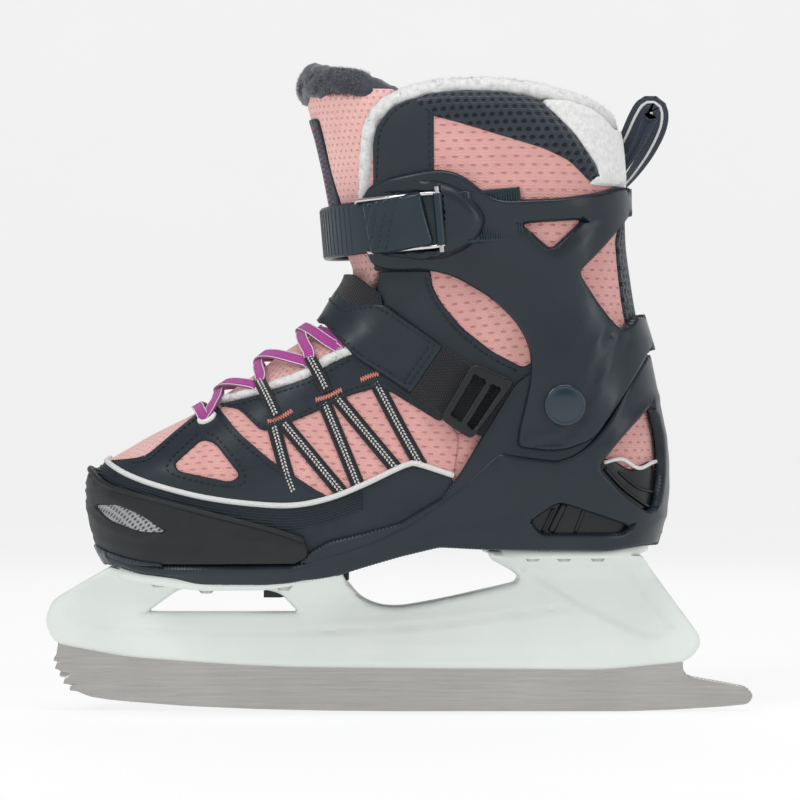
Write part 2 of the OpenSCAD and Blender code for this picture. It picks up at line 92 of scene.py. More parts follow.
def base_point(s, z):
    """Point of the boot's surface; s runs from 0 at the toe to 3 at the heel, on the -Y side."""
    front, ball, wb, heel, wh, rear = level(z)
    side = -1 if s >= 0 else 1
    a = abs(s)
    p = 2 / SQUARENESS
    if a <= 1:
        g = math.radians(90 * a)
        return Vector((ball - (ball - front) * max(math.cos(g), 0) ** p, side * wb * math.sin(g) ** p, z))
    if a <= 2:
        t = a - 1
        return Vector((ball + (heel - ball) * t, side * (wb + (wh - wb) * t * t * (3 - 2 * t)), z))
    g = math.radians(90 * (min(a, 3) - 2))
    return Vector((heel + (rear - heel) * math.sin(g) ** p, side * wh * max(math.cos(g), 0) ** p, z))


def normal_at(s, z):
    d = 0.03
    lo, hi = s - d, s + d
    if s < 3 < hi:
        hi = 3.0
    if hi > 3:
        hi = 3.0
    if lo < -3:
        lo = -3.0
    if abs(s) >= 3 - 1e-6:
        a = base_point(3 - d, z)
        b = Vector((a.x, -a.y, a.z))
        ds = b - a
    else:
        ds = base_point(hi, z) - base_point(lo, z)
    dz = base_point(s, z + 0.8) - base_point(s, z - 0.8)
    n = ds.cross(dz)
    if n.length < 1e-9:
        return Vector((0, 0, 1))
    n.normalize()
    return n


def surf(s, z, off=0.0):
    return base_point(s, z) + normal_at(s, z) * off


def s_of(x, z, off=0.0):
    """Girth place of the side-view point (x, z); clipped to the toe and heel lines."""
    front, ball, wb, heel, wh, rear = level(z)
    front, rear = front - off, rear + off
    if x <= ball:
        t = min(max((ball - x) / (ball - front), 0), 1)
        return math.degrees(math.acos(t ** (SQUARENESS / 2))) / 90
    if x <= heel:
        return 1 + (x - ball) / (heel - ball)
    t = min(max((x - heel) / (rear - heel), 0), 1)
    return 2 + math.degrees(math.asin(t ** (SQUARENESS / 2))) / 90


def side(x, z, off=0.0):
    """Surface point seen at (x, z) from the side."""
    return surf(s_of(x, z), z, off)


# arc lengths round the surface at each height, x being the coordinate along the flat of the side
_S = np.linspace(0, 3, 61)
_Z = np.arange(50, 290, 2.0)
_grid = np.array([[base_point(s, z) for s in _S] for z in _Z])
_du = np.zeros(_grid.shape[:2])
_du[:, 1:] = np.cumsum(np.linalg.norm(np.diff(_grid, axis=1)[:, :, :2], axis=2), axis=1)
_du[:, :20] += (_grid[:, 20, 0] - _du[:, 20])[:, None]
_du[:, 41:] += (_grid[:, 40, 0] - _du[:, 40])[:, None]
_du[:, 20:41] = _grid[:, 20:41, 0]
_rows = {}


def girth_row(z):
    k = round(z, 2)
    if k not in _rows:
        f = min(max((k - 50) / 2.0, 0), len(_Z) - 1.001)
        i = int(f)
        _rows[k] = (1 - f + i) * _du[i] + (f - i) * _du[i + 1]
    return _rows[k]


def u_of(s, z):
    return float(np.interp(abs(s), _S, girth_row(z)))


def s_from_u(u, z):
    return float(np.interp(u, girth_row(z), _S))


def arc_uv(s, z, centre=False):
    """Texture place in mm: along the boot and up its side and over the top; with centre, round from the toe line."""
    u = u_of(s, z)
    if centre:
        u -= girth_row(z)[0]
        return (u if s >= 0 else -u, z)
    p = base_point(s, z)
    return (p.x if abs(s) < 2 else u), z + 0.8 * (44 - (abs(p.y) if abs(s) < 2 else level(z)[4]))


# ---------------------------------------------------------------- curves
def catmull(points, per=6, closed=False):
    """A smooth line through the points."""
    n = len(points)
    out = []
    last = n if closed else n - 1
    for i in range(last):
        p0 = points[(i - 1) % n] if closed or i > 0 else points[i]
        p1, p2 = points[i], points[(i + 1) % n]
        p3 = points[(i + 2) % n] if closed or i + 2 < n else points[i + 1]
        for k in range(per):
            t = k / per
            out.append(tuple(0.5 * (2 * b + (c - a) * t + (2 * a - 5 * b + 4 * c - d) * t * t
                                    + (3 * b - a - 3 * c + d) * t ** 3)
                             for a, b, c, d in zip(p0, p1, p2, p3)))
    if not closed:
        out.append(tuple(points[-1]))
    return out


def spaced(points, step, closed=False):
    """The same line with points a step apart, in any number of dimensions."""
    pts = [np.array(p, float) for p in points]
    if closed:
        pts.append(pts[0])
    seg = [np.linalg.norm(b - a) for a, b in zip(pts, pts[1:])]
    total = sum(seg)
    n = max(3 if closed else 1, int(round(total / step)))
    out = []
    i, done = 0, 0.0
    for k in range(n + (0 if closed else 1)):
        d = total * k / n
        while i < len(seg) - 1 and done + seg[i] < d:
            done += seg[i]
            i += 1
        t = 0 if seg[i] == 0 else min((d - done) / seg[i], 1)
        out.append(pts[i] + (pts[i + 1] - pts[i]) * t)
    return out


def round_poly(points, r=1.0, n=4):
    """A polygon with every corner rounded: a point is (x, z) or (x, z, its own radius)."""
    out = []
    m = len(points)
    for i in range(m):
        p = np.array(points[i][:2], float)
        a = np.array(points[i - 1][:2], float)
        b = np.array(points[(i + 1) % m][:2], float)
        rr = points[i][2] if len(points[i]) > 2 else r
        da, db = np.linalg.norm(a - p), np.linalg.norm(b - p)
        k = min(rr, 0.45 * da, 0.45 * db)
        if k < 0.05:
            out.append(tuple(p))
            continue
        s, e = p + (a - p) / da * k, p + (b - p) / db * k
        for j in range(n + 1):
            t = j / n
            out.append(tuple((1 - t) ** 2 * s + 2 * t * (1 - t) * p + t * t * e))
    return out


# ---------------------------------------------------------------- meshes
def make(name, verts, faces, mat, body, replaces=(), slot=None, uvs=None, smooth=True, sharp=None, doubles=0.0):
    """A piece from points in mm. uvs has one texture place per point."""
    me = bpy.data.meshes.new(name)
    me.from_pydata([tuple(c * MM for c in v) for v in verts], [], faces)
    if uvs is not None:
        layer = me.uv_layers.new(name="UVMap")
        idx = np.empty(len(me.loops), dtype=np.int32)
        me.loops.foreach_get("vertex_index", idx)
        layer.data.foreach_set("uv", np.array(uvs, dtype=np.float32)[idx].ravel())
    obj = bpy.data.objects.new(name, me)
    bpy.context.collection.objects.link(obj)
    bm = bmesh.new()
    bm.from_mesh(me)
    if doubles:
        bmesh.ops.remove_doubles(bm, verts=bm.verts, dist=doubles * MM)
        bmesh.ops.dissolve_degenerate(bm, dist=1e-7, edges=bm.edges)
    bmesh.ops.recalc_face_normals(bm, faces=bm.faces)
    bm.to_mesh(me)
    bm.free()
    me.validate()
    if smooth:
        me.shade_smooth()
        if sharp:
            me.set_sharp_from_angle(angle=math.radians(sharp))
    for m in (mat if isinstance(mat, (list, tuple)) else [mat]):
        me.materials.append(m)
    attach(obj, body)
    if replaces:
        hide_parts(*replaces)
    return obj


def edge_profile(d, thick, edge, lip):
    """Height of a rounded edge at distance d from it."""
    t = min(max(d / edge, 0), 1)
    return thick * (lip + (1 - lip) * math.sqrt(max(0, 1 - (1 - t) ** 2)))


class Panel:
    """A shape drawn on the side view, laid on a surface, with thickness and rounded edges."""

    def __init__(self, outline, holes=(), step=2.6, edge=1.2, thick=1.0, off=0.0, under=None, lip=0.25,
                 height=None, plane=None, nor=None, seen=0.0, twin=False):
        self.plane, self.nor, self.seen = plane, nor, seen
        loops = [outline] + list(holes)
        fine = min(step * 0.55, 1.6)
        pts, edges, rim, free = [], [], [], []
        for loop in loops:
            dense = spaced(loop, fine, closed=True)
            first = len(pts)
            kept = []
            for x, z in dense:
                q = self.to_uv(x, z)
                if kept and abs(q[0] - kept[-1][0]) < 1e-4 and abs(q[1] - kept[-1][1]) < 1e-4:
                    continue
                kept.append(q)
            pts += kept
            n = len(kept)
            edges += [(first + i, first + (i + 1) % n) for i in range(n)]
        border = [p for p in pts if plane or not self.is_fold(p)]
        kd = kdtree.KDTree(len(border) * 3)
        k = 0
        for a, b in edges:
            pa, pb = pts[a], pts[b]
            if not plane and self.is_fold(pa) and self.is_fold(pb):
                continue
            va, vb = self.at(pa), self.at(pb)
            for t in (0, 0.34, 0.67):
                if k < len(border) * 3:
                    kd.insert(va.lerp(vb, t), k)
                    k += 1
        kd.balance()
        self.kd = kd
        us, zs = [p[0] for p in pts], [p[1] for p in pts]
        inner = []
        ring_d = [edge * f for f in (0.12, 0.4, 0.8, 1.15)]
        for loop_i in range(len(edges)):
            a, b = edges[loop_i]
            pa, pb = Vector(pts[a]), Vector(pts[b])
            if not plane and self.is_fold(pa) and self.is_fold(pb):
                continue
            mid = (pa + pb) / 2
            a, b = self.steps(mid)
            e = a * (pb.x - pa.x) + b * (pb.y - pa.y)
            if e.length < 1e-6:
                continue
            across = a.cross(b).cross(e).normalized()
            aa, ab, bb = a.dot(a), a.dot(b), b.dot(b)
            det = aa * bb - ab * ab
            if det < 1e-6:
                continue
            ra, rb = across.dot(a), across.dot(b)
            du, dz = (ra * bb - rb * ab) / det, (rb * aa - ra * ab) / det
            for sign in (1, -1):
                for d in ring_d:
                    inner.append((mid.x + sign * du * d, mid.y + sign * dz * d, d))
        keep = []
        segs = np.array([(pts[a][0], pts[a][1], pts[b][0], pts[b][1]) for a, b in edges])

        def inside(u, z):
            c = (segs[:, 1] > z) != (segs[:, 3] > z)
            if not c.any():
                return False
            s = segs[c]
            xi = s[:, 0] + (z - s[:, 1]) * (s[:, 2] - s[:, 0]) / (s[:, 3] - s[:, 1])
            return int((xi > u).sum()) % 2 == 1

        for u, z, d in inner:
            if inside(u, z):
                near = kd.find(self.at((u, z)))[2]
                if near > d * 0.8:
                    keep.append((u, z))
        row = 0
        z = min(zs) + step * 0.5
        while z < max(zs):
            u = min(us) + (step * 0.5 if row % 2 else 0)
            while u < max(us):
                if inside(u, z) and kd.find(self.at((u, z)))[2] > edge * 1.15 + step * 0.45:
                    keep.append((u, z))
                u += step
            z += step * 0.87
            row += 1
        res = delaunay_2d_cdt([Vector(p) for p in pts + keep], edges, [], 2, 1e-4)
        self.flat = [(v.x, v.y) for v in res[0]]
        self.tris = [tuple(f) for f in res[2]
                     if inside(sum(self.flat[i][0] for i in f) / 3, sum(self.flat[i][1] for i in f) / 3)]
        area = sum((self.flat[b][0] - self.flat[a][0]) * (self.flat[c][1] - self.flat[a][1])
                   - (self.flat[c][0] - self.flat[a][0]) * (self.flat[b][1] - self.flat[a][1]) for a, b, c in self.tris)
        if area < 0:
            self.tris = [(a, c, b) for a, b, c in self.tris]
        count = {}
        for f in self.tris:
            for a, b in ((f[0], f[1]), (f[1], f[2]), (f[2], f[0])):
                count[(a, b)] = count.get((a, b), 0) + 1
        self.border = [(a, b) for (a, b) in count if (b, a) not in count]
        self.verts, self.faces, self.uvs = [], [], []
        n = len(self.flat)
        under = off if under is None else under
        top, bottom = [], []
        for p in self.flat:
            base, nor = self.frame_at(p)
            d = kd.find(base)[2]
            h = height(base.x, base.z, d) if height else edge_profile(d, thick, edge, lip)
            top.append(base + nor * (off + h))
            bottom.append(Vector((base.x, -base.y - nor.y * (off + h), base.z)) if twin else base + nor * under)
        self.verts = top + bottom
        uv = [self.uv(p) for p in self.flat]
        self.uvs = uv + uv
        self.faces = [tuple(f) for f in self.tris] + [(a + n, c + n, b + n) for a, b, c in self.tris]
        for a, b in self.border:
            if not plane and self.is_fold(self.flat[a]) and self.is_fold(self.flat[b]):
                continue
            self.faces.append((b, a, a + n, b + n))

    def is_fold(self, p):
        row = girth_row(p[1])
        return p[0] < row[0] + 0.02 or p[0] > row[-1] - 0.02

    def to_uv(self, x, z):
        return (x, z) if self.plane else (u_of(s_of(x, z, self.seen), z), z)

    def at(self, p):
        return Vector((p[0], self.plane(p[0], p[1]), p[1])) if self.plane else base_point(s_from_u(p[0], p[1]), p[1])

    def steps(self, p):
        """How the surface point moves with each of the two flat coordinates."""
        d = 0.5
        a = self.at((p.x + d, p.y)) - self.at((p.x - d, p.y))
        b = self.at((p.x, p.y + d)) - self.at((p.x, p.y - d))
        return a / (2 * d), b / (2 * d)

    def frame_at(self, p):
        if self.plane:
            return self.at(p), (self.nor(p[0], p[1]) if self.nor else Vector((0, -1, 0)))
        s = s_from_u(p[0], p[1])
        return base_point(s, p[1]), normal_at(s, p[1])

    def uv(self, p):
        return (p[0], p[1]) if self.plane else arc_uv(s_from_u(p[0], p[1]), p[1])


def both(panel):
    """Points, faces and texture places of a panel and its mirror image."""
    n = len(panel.verts)
    verts = panel.verts + [Vector((v.x, -v.y, v.z)) for v in panel.verts]
    faces = panel.faces + [tuple(reversed([i + n for i in f])) for f in panel.faces]
    return verts, faces, panel.uvs + [(u + 400, v) for u, v in panel.uvs]


def panel(name, outline, mat, body, mirrored=True, replaces=(), slot=None, sharp=35, corner=1.0, **kw):
    p = Panel(round_poly(outline, corner) if corner else outline, **kw)
    v, f, uv = both(p) if mirrored else (p.verts, p.faces, p.uvs)
    return make(name, v, f, mat, body, replaces, slot, uv, sharp=sharp, doubles=0.02)


def rect(w, h, r=0.3, n=3):
    """Cross-section of a flat band with rounded edges: across, then out."""
    out = []
    for cx, cy, a0 in ((w / 2 - r, h / 2 - r, 0), (-w / 2 + r, h / 2 - r, 90), (-w / 2 + r, -h / 2 + r, 180),
                       (w / 2 - r, -h / 2 + r, 270)):
        out += [(cx + r * math.cos(math.radians(a0 + 90 * k / n)), cy + r * math.sin(math.radians(a0 + 90 * k / n)))
                for k in range(n + 1)]
    return out


def circle(r, n=10):
    return [(r * math.cos(2 * math.pi * k / n), r * math.sin(2 * math.pi * k / n)) for k in range(n)]


def sweep(points, normals, section, closed=False, scale=None):
    """A section swept along points; its second axis follows the normals. Returns points, faces, texture places."""
    n, m = len(points), len(section)
    verts, faces, uvs = [], [], []
    girth = [0.0]
    for a, b in zip(section, section[1:]):
        girth.append(girth[-1] + math.dist(a, b))
    run = 0.0
    for i in range(n):
        if closed:
            t = points[(i + 1) % n] - points[i - 1]
        else:
            t = points[min(i + 1, n - 1)] - points[max(i - 1, 0)]
        t.normalize()
        nor = normals[i] - t * normals[i].dot(t)
        nor.normalize()
        b = t.cross(nor)
        if i:
            run += (points[i] - points[i - 1]).length
        k = scale(i / max(n - 1, 1)) if scale else 1
        for j, (x, y) in enumerate(section):
            verts.append(points[i] + b * x * k + nor * y * k)
            uvs.append((run, girth[j] if section is not None else 0))
    rows = n if closed else n - 1
    for i in range(rows):
        for j in range(m):
            a, b = i * m + j, i * m + (j + 1) % m
            c, d = ((i + 1) % n) * m + (j + 1) % m, ((i + 1) % n) * m + j
            faces.append((a, b, c, d))
    if not closed:
        faces.append(tuple(reversed(range(m))))
        faces.append(tuple(range((n - 1) * m, n * m)))
    return verts, faces, uvs


class Bag:
    """Gathers many small closed shapes into one piece."""

    def __init__(self):
        self.verts, self.faces, self.uvs = [], [], []

    def add(self, verts, faces, uvs=None):
        n = len(self.verts)
        self.verts += [Vector(v) for v in verts]
        self.faces += [tuple(i + n for i in f) for f in faces]
        self.uvs += list(uvs) if uvs else [(v[0], v[2]) for v in verts]

    def mirror(self):
        n = len(self.verts)
        self.verts += [Vector((v.x, -v.y, v.z)) for v in self.verts]
        self.faces += [tuple(reversed([i + n for i in f])) for f in self.faces]
        self.uvs += list(self.uvs)

    def make(self, name, mat, body, **kw):
        return make(name, self.verts, self.faces, mat, body, uvs=self.uvs, **kw)


def on_side(path, off, step=1.5, smooth=True, side_sign=-1):
    """Points and normals of a side-view line laid on the boot."""
    line = spaced(catmull(path) if smooth and len(path) > 2 else path, step)
    pts, nor = [], []
    for x, z in line:
        s = s_of(x, z)
        n = normal_at(s, z)
        p = base_point(s, z) + n * off
        if side_sign > 0:
            p, n = Vector((p.x, -p.y, p.z)), Vector((n.x, -n.y, n.z))
        pts.append(p)
        nor.append(n)
    return pts, nor


def capsule(a, b, nor, w, h, n=8):
    """One stitch from a to b that dips into the fabric at its ends."""
    t = (b - a)
    length = t.length
    t.normalize()
    side_v = t.cross(nor).normalized()
    verts, faces = [], []
    rows = 5
    for i in range(rows):
        f = i / (rows - 1)
        k = math.sqrt(max(0.0, 1 - (2 * f - 1) ** 2)) * 0.75 + 0.25
        c = a + t * length * f + nor * (h * 0.5 * (k - 0.6))
        for j in range(6):
            g = 2 * math.pi * j / 6
            verts.append(c + side_v * math.cos(g) * w / 2 * k + nor * math.sin(g) * h / 2 * k)
    for i in range(rows - 1):
        for j in range(6):
            faces.append((i * 6 + j, i * 6 + (j + 1) % 6, (i + 1) * 6 + (j + 1) % 6, (i + 1) * 6 + j))
    faces.append(tuple(reversed(range(6))))
    faces.append(tuple(range((rows - 1) * 6, rows * 6)))
    return verts, faces


def stitch_line(bag, path, off, pitch=3.0, fill=0.68, w=0.8, h=0.7, smooth=True, mirrored=True):
    for sign in ((-1, 1) if mirrored else (-1,)):
        pts, nor = on_side(path, off, 0.5, smooth, sign)
        run = [0.0]
        for p, q in zip(pts, pts[1:]):
            run.append(run[-1] + (q - p).length)
        k, d = 0, pitch * 0.2
        while d + pitch * fill < run[-1]:
            i = min(range(len(run)), key=lambda q: abs(run[q] - d))
            j = min(range(len(run)), key=lambda q: abs(run[q] - d - pitch * fill))
            if j > i:
                bag.add(*capsule(pts[i], pts[j], nor[i], w, h))
            d += pitch


# ---------------------------------------------------------------- materials
class Mat:
    """A principled material with short names for the nodes that build it."""

    def __init__(self, name, **sockets):
        self.m = bpy.data.materials.new(name)
        self.m.use_nodes = True
        self.t = self.m.node_tree
        self.b = self.t.nodes["Principled BSDF"]
        for k, v in sockets.items():
            self.b.inputs[k.replace("_", " ")].default_value = v

    def put(self, kind, *args, **props):
        n = self.t.nodes.new(kind)
        for k, v in props.items():
            setattr(n, k, v)
        for i, a in enumerate(args):
            if a is None:
                continue
            if hasattr(a, "is_output"):
                self.t.links.new(a, n.inputs[i])
            else:
                n.inputs[i].default_value = a
        return n

    def math(self, op, *args, clamp=False):
        return self.put("ShaderNodeMath", *args, operation=op, use_clamp=clamp).outputs[0]

    def uv(self):
        n = self.put("ShaderNodeUVMap")
        x = self.put("ShaderNodeSeparateXYZ", n.outputs[0])
        return n.outputs[0], x.outputs[0], x.outputs[1]

    def obj(self, scale=(1, 1, 1)):
        c = self.put("ShaderNodeTexCoord").outputs["Object"]
        v = self.put("ShaderNodeVectorMath", c, scale, operation="MULTIPLY")
        return v.outputs[0]

    def noise(self, vec, scale, detail=3.0, rough=0.5):
        n = self.put("ShaderNodeTexNoise")
        self.t.links.new(vec, n.inputs["Vector"])
        n.inputs["Scale"].default_value = scale
        n.inputs["Detail"].default_value = detail
        n.inputs["Roughness"].default_value = rough
        return n.outputs[0]

    def voronoi(self, vec, scale, feature="F1"):
        n = self.put("ShaderNodeTexVoronoi", feature=feature)
        self.t.links.new(vec, n.inputs["Vector"])
        n.inputs["Scale"].default_value = scale
        return n.outputs[0]

    def ramp(self, fac, *stops):
        n = self.put("ShaderNodeValToRGB", fac)
        e = n.color_ramp.elements
        while len(e) < len(stops):
            e.new(0.5)
        for el, (pos, col) in zip(e, stops):
            el.position = pos
            el.color = (*col, 1) if len(col) == 3 else (col[0],) * 3 + (1,)
        return n.outputs[0]

    def remap(self, fac, a, b, c, d):
        return self.put("ShaderNodeMapRange", fac, a, b, c, d).outputs[0]

    def mix(self, fac, a, b):
        n = self.put("ShaderNodeMix", data_type="RGBA")
        for i, v in ((0, fac), (6, a), (7, b)):
            if hasattr(v, "is_output"):
                self.t.links.new(v, n.inputs[i])
            else:
                n.inputs[i].default_value = (*v, 1) if isinstance(v, tuple) else v
        return n.outputs[2]

    def set(self, name, value):
        self.t.links.new(value, self.b.inputs[name])

    def bump(self, *layers):
        """Bump from (height, strength, distance in mm) layers."""
        last = None
        for h, strength, dist in layers:
            n = self.put("ShaderNodeBump")
            n.inputs["Strength"].default_value = strength
            n.inputs["Distance"].default_value = dist * MM
            self.t.links.new(h, n.inputs["Height"])
            if last:
                self.t.links.new(last, n.inputs["Normal"])
            last = n.outputs[0]
        self.set("Normal", last)


def plastic(name, dark, light, rough, grain=0.12, coat=0.0, spec=0.5):
    m = Mat(name, Specular_IOR_Level=spec, Coat_Weight=coat, Coat_Roughness=0.25)
    o = m.obj()
    big = m.noise(o, 26, 4)
    m.set("Base Color", m.ramp(big, (0.3, dark), (0.75, light)))
    fine = m.noise(o, 900, 4, 0.6)
    m.set("Roughness", m.remap(m.noise(o, 90, 5), 0.3, 0.7, rough - 0.05, rough + 0.07))
    m.bump((m.noise(o, 60, 2), 0.25, 0.12), (fine, grain, 0.06))
    return m.m


def mesh_cloth(name, base, shade_and_mottle, light, pu, pv, au, av, stagger=0.5, depth=0.5, knit=1.1, square=False):
    """Air mesh: fine knit with rows of small dimples, pu by pv mm apart. The dimples are painted in the darker colour
    as painted shade, and the knit is painted lighter on its raised knots and darker between them as painted highlight
    and shade.
    """
    m = Mat(name, Roughness=0.9, Specular_IOR_Level=0.2, Sheen_Weight=0.35, Sheen_Roughness=0.5)
    _, u, v = m.uv()
    row = m.math("FLOOR", m.math("DIVIDE", v, pv))
    shift = m.math("MULTIPLY", m.math("MODULO", m.math("ABSOLUTE", row), 2.0), stagger)
    cu = m.math("FRACT", m.math("ADD", m.math("DIVIDE", u, pu), shift))
    cv = m.math("FRACT", m.math("DIVIDE", v, pv))
    du = m.math("DIVIDE", m.math("MULTIPLY", m.math("ABSOLUTE", m.math("SUBTRACT", cu, 0.5)), pu), au)
    dv = m.math("DIVIDE", m.math("MULTIPLY", m.math("ABSOLUTE", m.math("SUBTRACT", cv, 0.5)), pv), av)
    if square:
        dist = m.math("MAXIMUM", du, dv)
    else:
        dist = m.math("SQRT", m.math("ADD", m.math("POWER", du, 2.0), m.math("POWER", dv, 2.0)))
    hole = m.remap(dist, 0.75, 1.25, 1.0, 0.0)
    ku = m.math("SINE", m.math("MULTIPLY", u, 2 * math.pi / knit))
    kv = m.math("SINE", m.math("MULTIPLY", v, 2 * math.pi / knit))
    k = m.math("MULTIPLY", ku, kv)
    o = m.obj()
    cloudy = m.noise(o, 45, 4)
    # painted highlight on the raised knit knots and painted shade between them
    body = m.mix(m.remap(k, -1, 1, 0, 1), base, light)
    # random mottle towards the darker colour: the cloth's own uneven tone
    body = m.mix(m.remap(cloudy, 0.3, 0.7, 0.0, 0.35), body, shade_and_mottle)
    # painted shade: the dimples take the darker colour
    m.set("Base Color", m.mix(hole, body, shade_and_mottle))
    wave = m.math("SINE", m.math("ADD", m.math("MULTIPLY", v, 2 * math.pi / (pv / 3)),
                                 m.math("MULTIPLY", m.math("SINE", m.math("MULTIPLY", u, 2 * math.pi / (pu / 2))), 1.3)))
    knots = m.math("ADD", m.math("MULTIPLY", k, 0.14), m.math("MULTIPLY", wave, 0.16))
    h = m.math("SUBTRACT", knots, hole)
    m.bump((m.noise(o, 700, 3), 0.25, 0.15), (h, depth, 0.55))
    return m.m


def leather(name, dark, light, rough=0.48, scale=420):
    m = Mat(name, Specular_IOR_Level=0.38)
    o = m.obj()
    cell = m.voronoi(o, scale * 2.4)
    crease = m.noise(o, scale * 0.5, 6, 0.65)
    m.set("Base Color", m.ramp(m.noise(o, 30, 3), (0.3, dark), (0.7, light)))
    m.set("Roughness", m.remap(crease, 0.3, 0.7, rough - 0.08, rough + 0.1))
    m.bump((crease, 0.18, 0.3), (cell, 0.22, 0.12), (m.noise(o, 35, 2), 0.3, 0.5))
    return m.m


def webbing(name, dark, light, pu=1.0, pv=1.3, stripes=(), stripe=(0.8, 0.8, 0.8), stripe_w=0.35, rough=0.75):
    """Woven band; u runs along it in mm, v across its face. The yarns carry painted highlight on their crowns and
    painted shade in the grooves between them.
    """
    m = Mat(name, Specular_IOR_Level=0.3, Sheen_Weight=0.2)
    _, u, v = m.uv()
    a = m.math("SINE", m.math("MULTIPLY", u, 2 * math.pi / pu))
    row = m.math("MULTIPLY", m.math("MODULO", m.math("FLOOR", m.math("DIVIDE", v, pv)), 2.0), math.pi)
    b = m.math("SINE", m.math("ADD", m.math("MULTIPLY", u, 2 * math.pi / pu), row))
    c = m.math("ABSOLUTE", m.math("SINE", m.math("MULTIPLY", v, math.pi / pv)))
    h = m.math("MULTIPLY", m.remap(b, -1, 1, 0.2, 1), m.math("POWER", c, 0.5))
    # painted shade in the weave's grooves and painted highlight on the yarn crowns
    col = m.mix(h, dark, light)
    for at, w in stripes:
        d = m.math("ABSOLUTE", m.math("SUBTRACT", v, at))
        col = m.mix(m.remap(d, w * 0.8, w, 1.0, 0.0), col, stripe)
    m.set("Base Color", col)
    m.set("Roughness", m.remap(h, 0, 1, rough + 0.1, rough - 0.1))
    m.bump((h, 0.7, 0.3))
    return m.m


def plush(name, dark, light, scale=500, rough=1.0):
    m = Mat(name, Roughness=rough, Specular_IOR_Level=0.1, Sheen_Weight=0.6, Sheen_Roughness=0.6)
    o = m.obj()
    n = m.noise(o, scale, 5, 0.7)
    big = m.noise(o, 80, 4)
    m.set("Base Color", m.mix(m.remap(n, 0.35, 0.65, 0, 1), dark, light))
    m.bump((big, 0.5, 1.2), (n, 0.6, 0.6))
    return m.m


NAVY = plastic("navy_shell", (0.008, 0.0145, 0.022), (0.013, 0.022, 0.031), 0.33, grain=0.07, spec=0.42)
NAVY_CUFF = plastic("navy_cuff", (0.008, 0.0145, 0.022), (0.013, 0.022, 0.031), 0.31, grain=0.07, spec=0.42)
TOE = plastic("toe_black", (0.013, 0.0145, 0.0165), (0.020, 0.022, 0.025), 0.55, grain=0.5, spec=0.35)
WHITE = plastic("holder_white", (0.73, 0.77, 0.74), (0.79, 0.83, 0.80), 0.38, grain=0.08, spec=0.4)
BLACK = plastic("buckle_black", (0.004, 0.005, 0.007), (0.009, 0.011, 0.014), 0.28, grain=0.08, spec=0.4)
BUCKLE = plastic("buckle_navy", (0.006, 0.018, 0.026), (0.011, 0.028, 0.038), 0.28, grain=0.05, spec=0.45)
SOLE_MAT = plastic("sole_black", (0.01, 0.011, 0.012), (0.018, 0.019, 0.021), 0.6, grain=0.3)
EYELET = plastic("eyelet_white", (0.7, 0.7, 0.7), (0.82, 0.82, 0.82), 0.3, grain=0.05)
RIVET = plastic("rivet_cap", (0.004, 0.018, 0.030), (0.008, 0.026, 0.042), 0.22, grain=0.03, coat=0.4)
SIDE_MESH = mesh_cloth("pink_side_mesh", (0.73, 0.365, 0.338), (0.56, 0.235, 0.222), (0.83, 0.47, 0.44),
                       5.0, 3.3, 1.15, 0.42, depth=0.7)
VAMP_MESH = mesh_cloth("pink_vamp_mesh", (0.86, 0.49, 0.45), (0.70, 0.33, 0.31), (0.93, 0.60, 0.56),
                       3.0, 2.7, 0.55, 0.5, depth=0.7)
COLLAR_MESH = mesh_cloth("collar_mesh", (0.030, 0.040, 0.055), (0.006, 0.008, 0.012), (0.055, 0.070, 0.092),
                         3.6, 3.1, 1.15, 0.95, depth=0.9, knit=0.8)
VENT_MESH = mesh_cloth("grey_mesh", (0.42, 0.43, 0.44), (0.07, 0.07, 0.075), (0.62, 0.63, 0.64),
                       2.2, 1.5, 0.62, 0.42, depth=0.9, knit=0.7)
LEATHER = leather("navy_leather", (0.011, 0.018, 0.025), (0.017, 0.026, 0.035), 0.42)
RAND = leather("navy_rand", (0.011, 0.018, 0.026), (0.018, 0.027, 0.037), 0.5)
THREAD = leather("dark_thread", (0.003, 0.005, 0.008), (0.020, 0.040, 0.055), 0.5, 900)
WEB = webbing("black_webbing", (0.005, 0.005, 0.007), (0.028, 0.029, 0.034))
WEB_WHITE = webbing("black_white_webbing", (0.005, 0.005, 0.007), (0.022, 0.023, 0.028), 1.0, 0.9,
                    stripes=((-0.001, 0.0),), stripe=(0.7, 0.7, 0.7))
WEB_NAVY = webbing("navy_webbing", (0.008, 0.012, 0.024), (0.045, 0.055, 0.082), 1.0, 1.2)
LACE = webbing("magenta_lace", (0.24, 0.018, 0.17), (0.55, 0.07, 0.40), 0.9, 5.0)
WHITE_THREAD = webbing("white_thread", (0.62, 0.62, 0.60), (0.82, 0.82, 0.80), 0.6, 0.5)
CORAL = webbing("coral_thread", (0.70, 0.19, 0.15), (0.90, 0.36, 0.30), 0.5, 0.5)
PIPING = webbing("white_piping", (0.70, 0.70, 0.69), (0.84, 0.84, 0.83), 0.7, 0.7)
FUR = plush("white_plush", (0.66, 0.66, 0.655), (0.86, 0.86, 0.85))
GREY_FUR = plush("navy_plush", (0.018, 0.021, 0.034), (0.046, 0.050, 0.072))
INSOLE = plush("insole_felt", (0.03, 0.035, 0.045), (0.06, 0.065, 0.08), 900)


def steel_mat(name, base, rough, across, coarse=1.0):
    m = Mat(name, Metallic=1.0)
    o = m.obj(across)
    a = m.noise(o, 40 * coarse, 5, 0.6)
    b = m.noise(m.obj((30, 30, 30)), 1, 3)
    m.set("Base Color", m.ramp(m.math("ADD", m.math("MULTIPLY", a, 0.7), m.math("MULTIPLY", b, 0.3)),
                               (0.3, tuple(c * 0.72 for c in base)), (0.7, base)))
    m.set("Roughness", m.remap(a, 0.3, 0.7, rough - 0.09, rough + 0.12))
    m.bump((a, 0.25, 0.04))
    return m.m


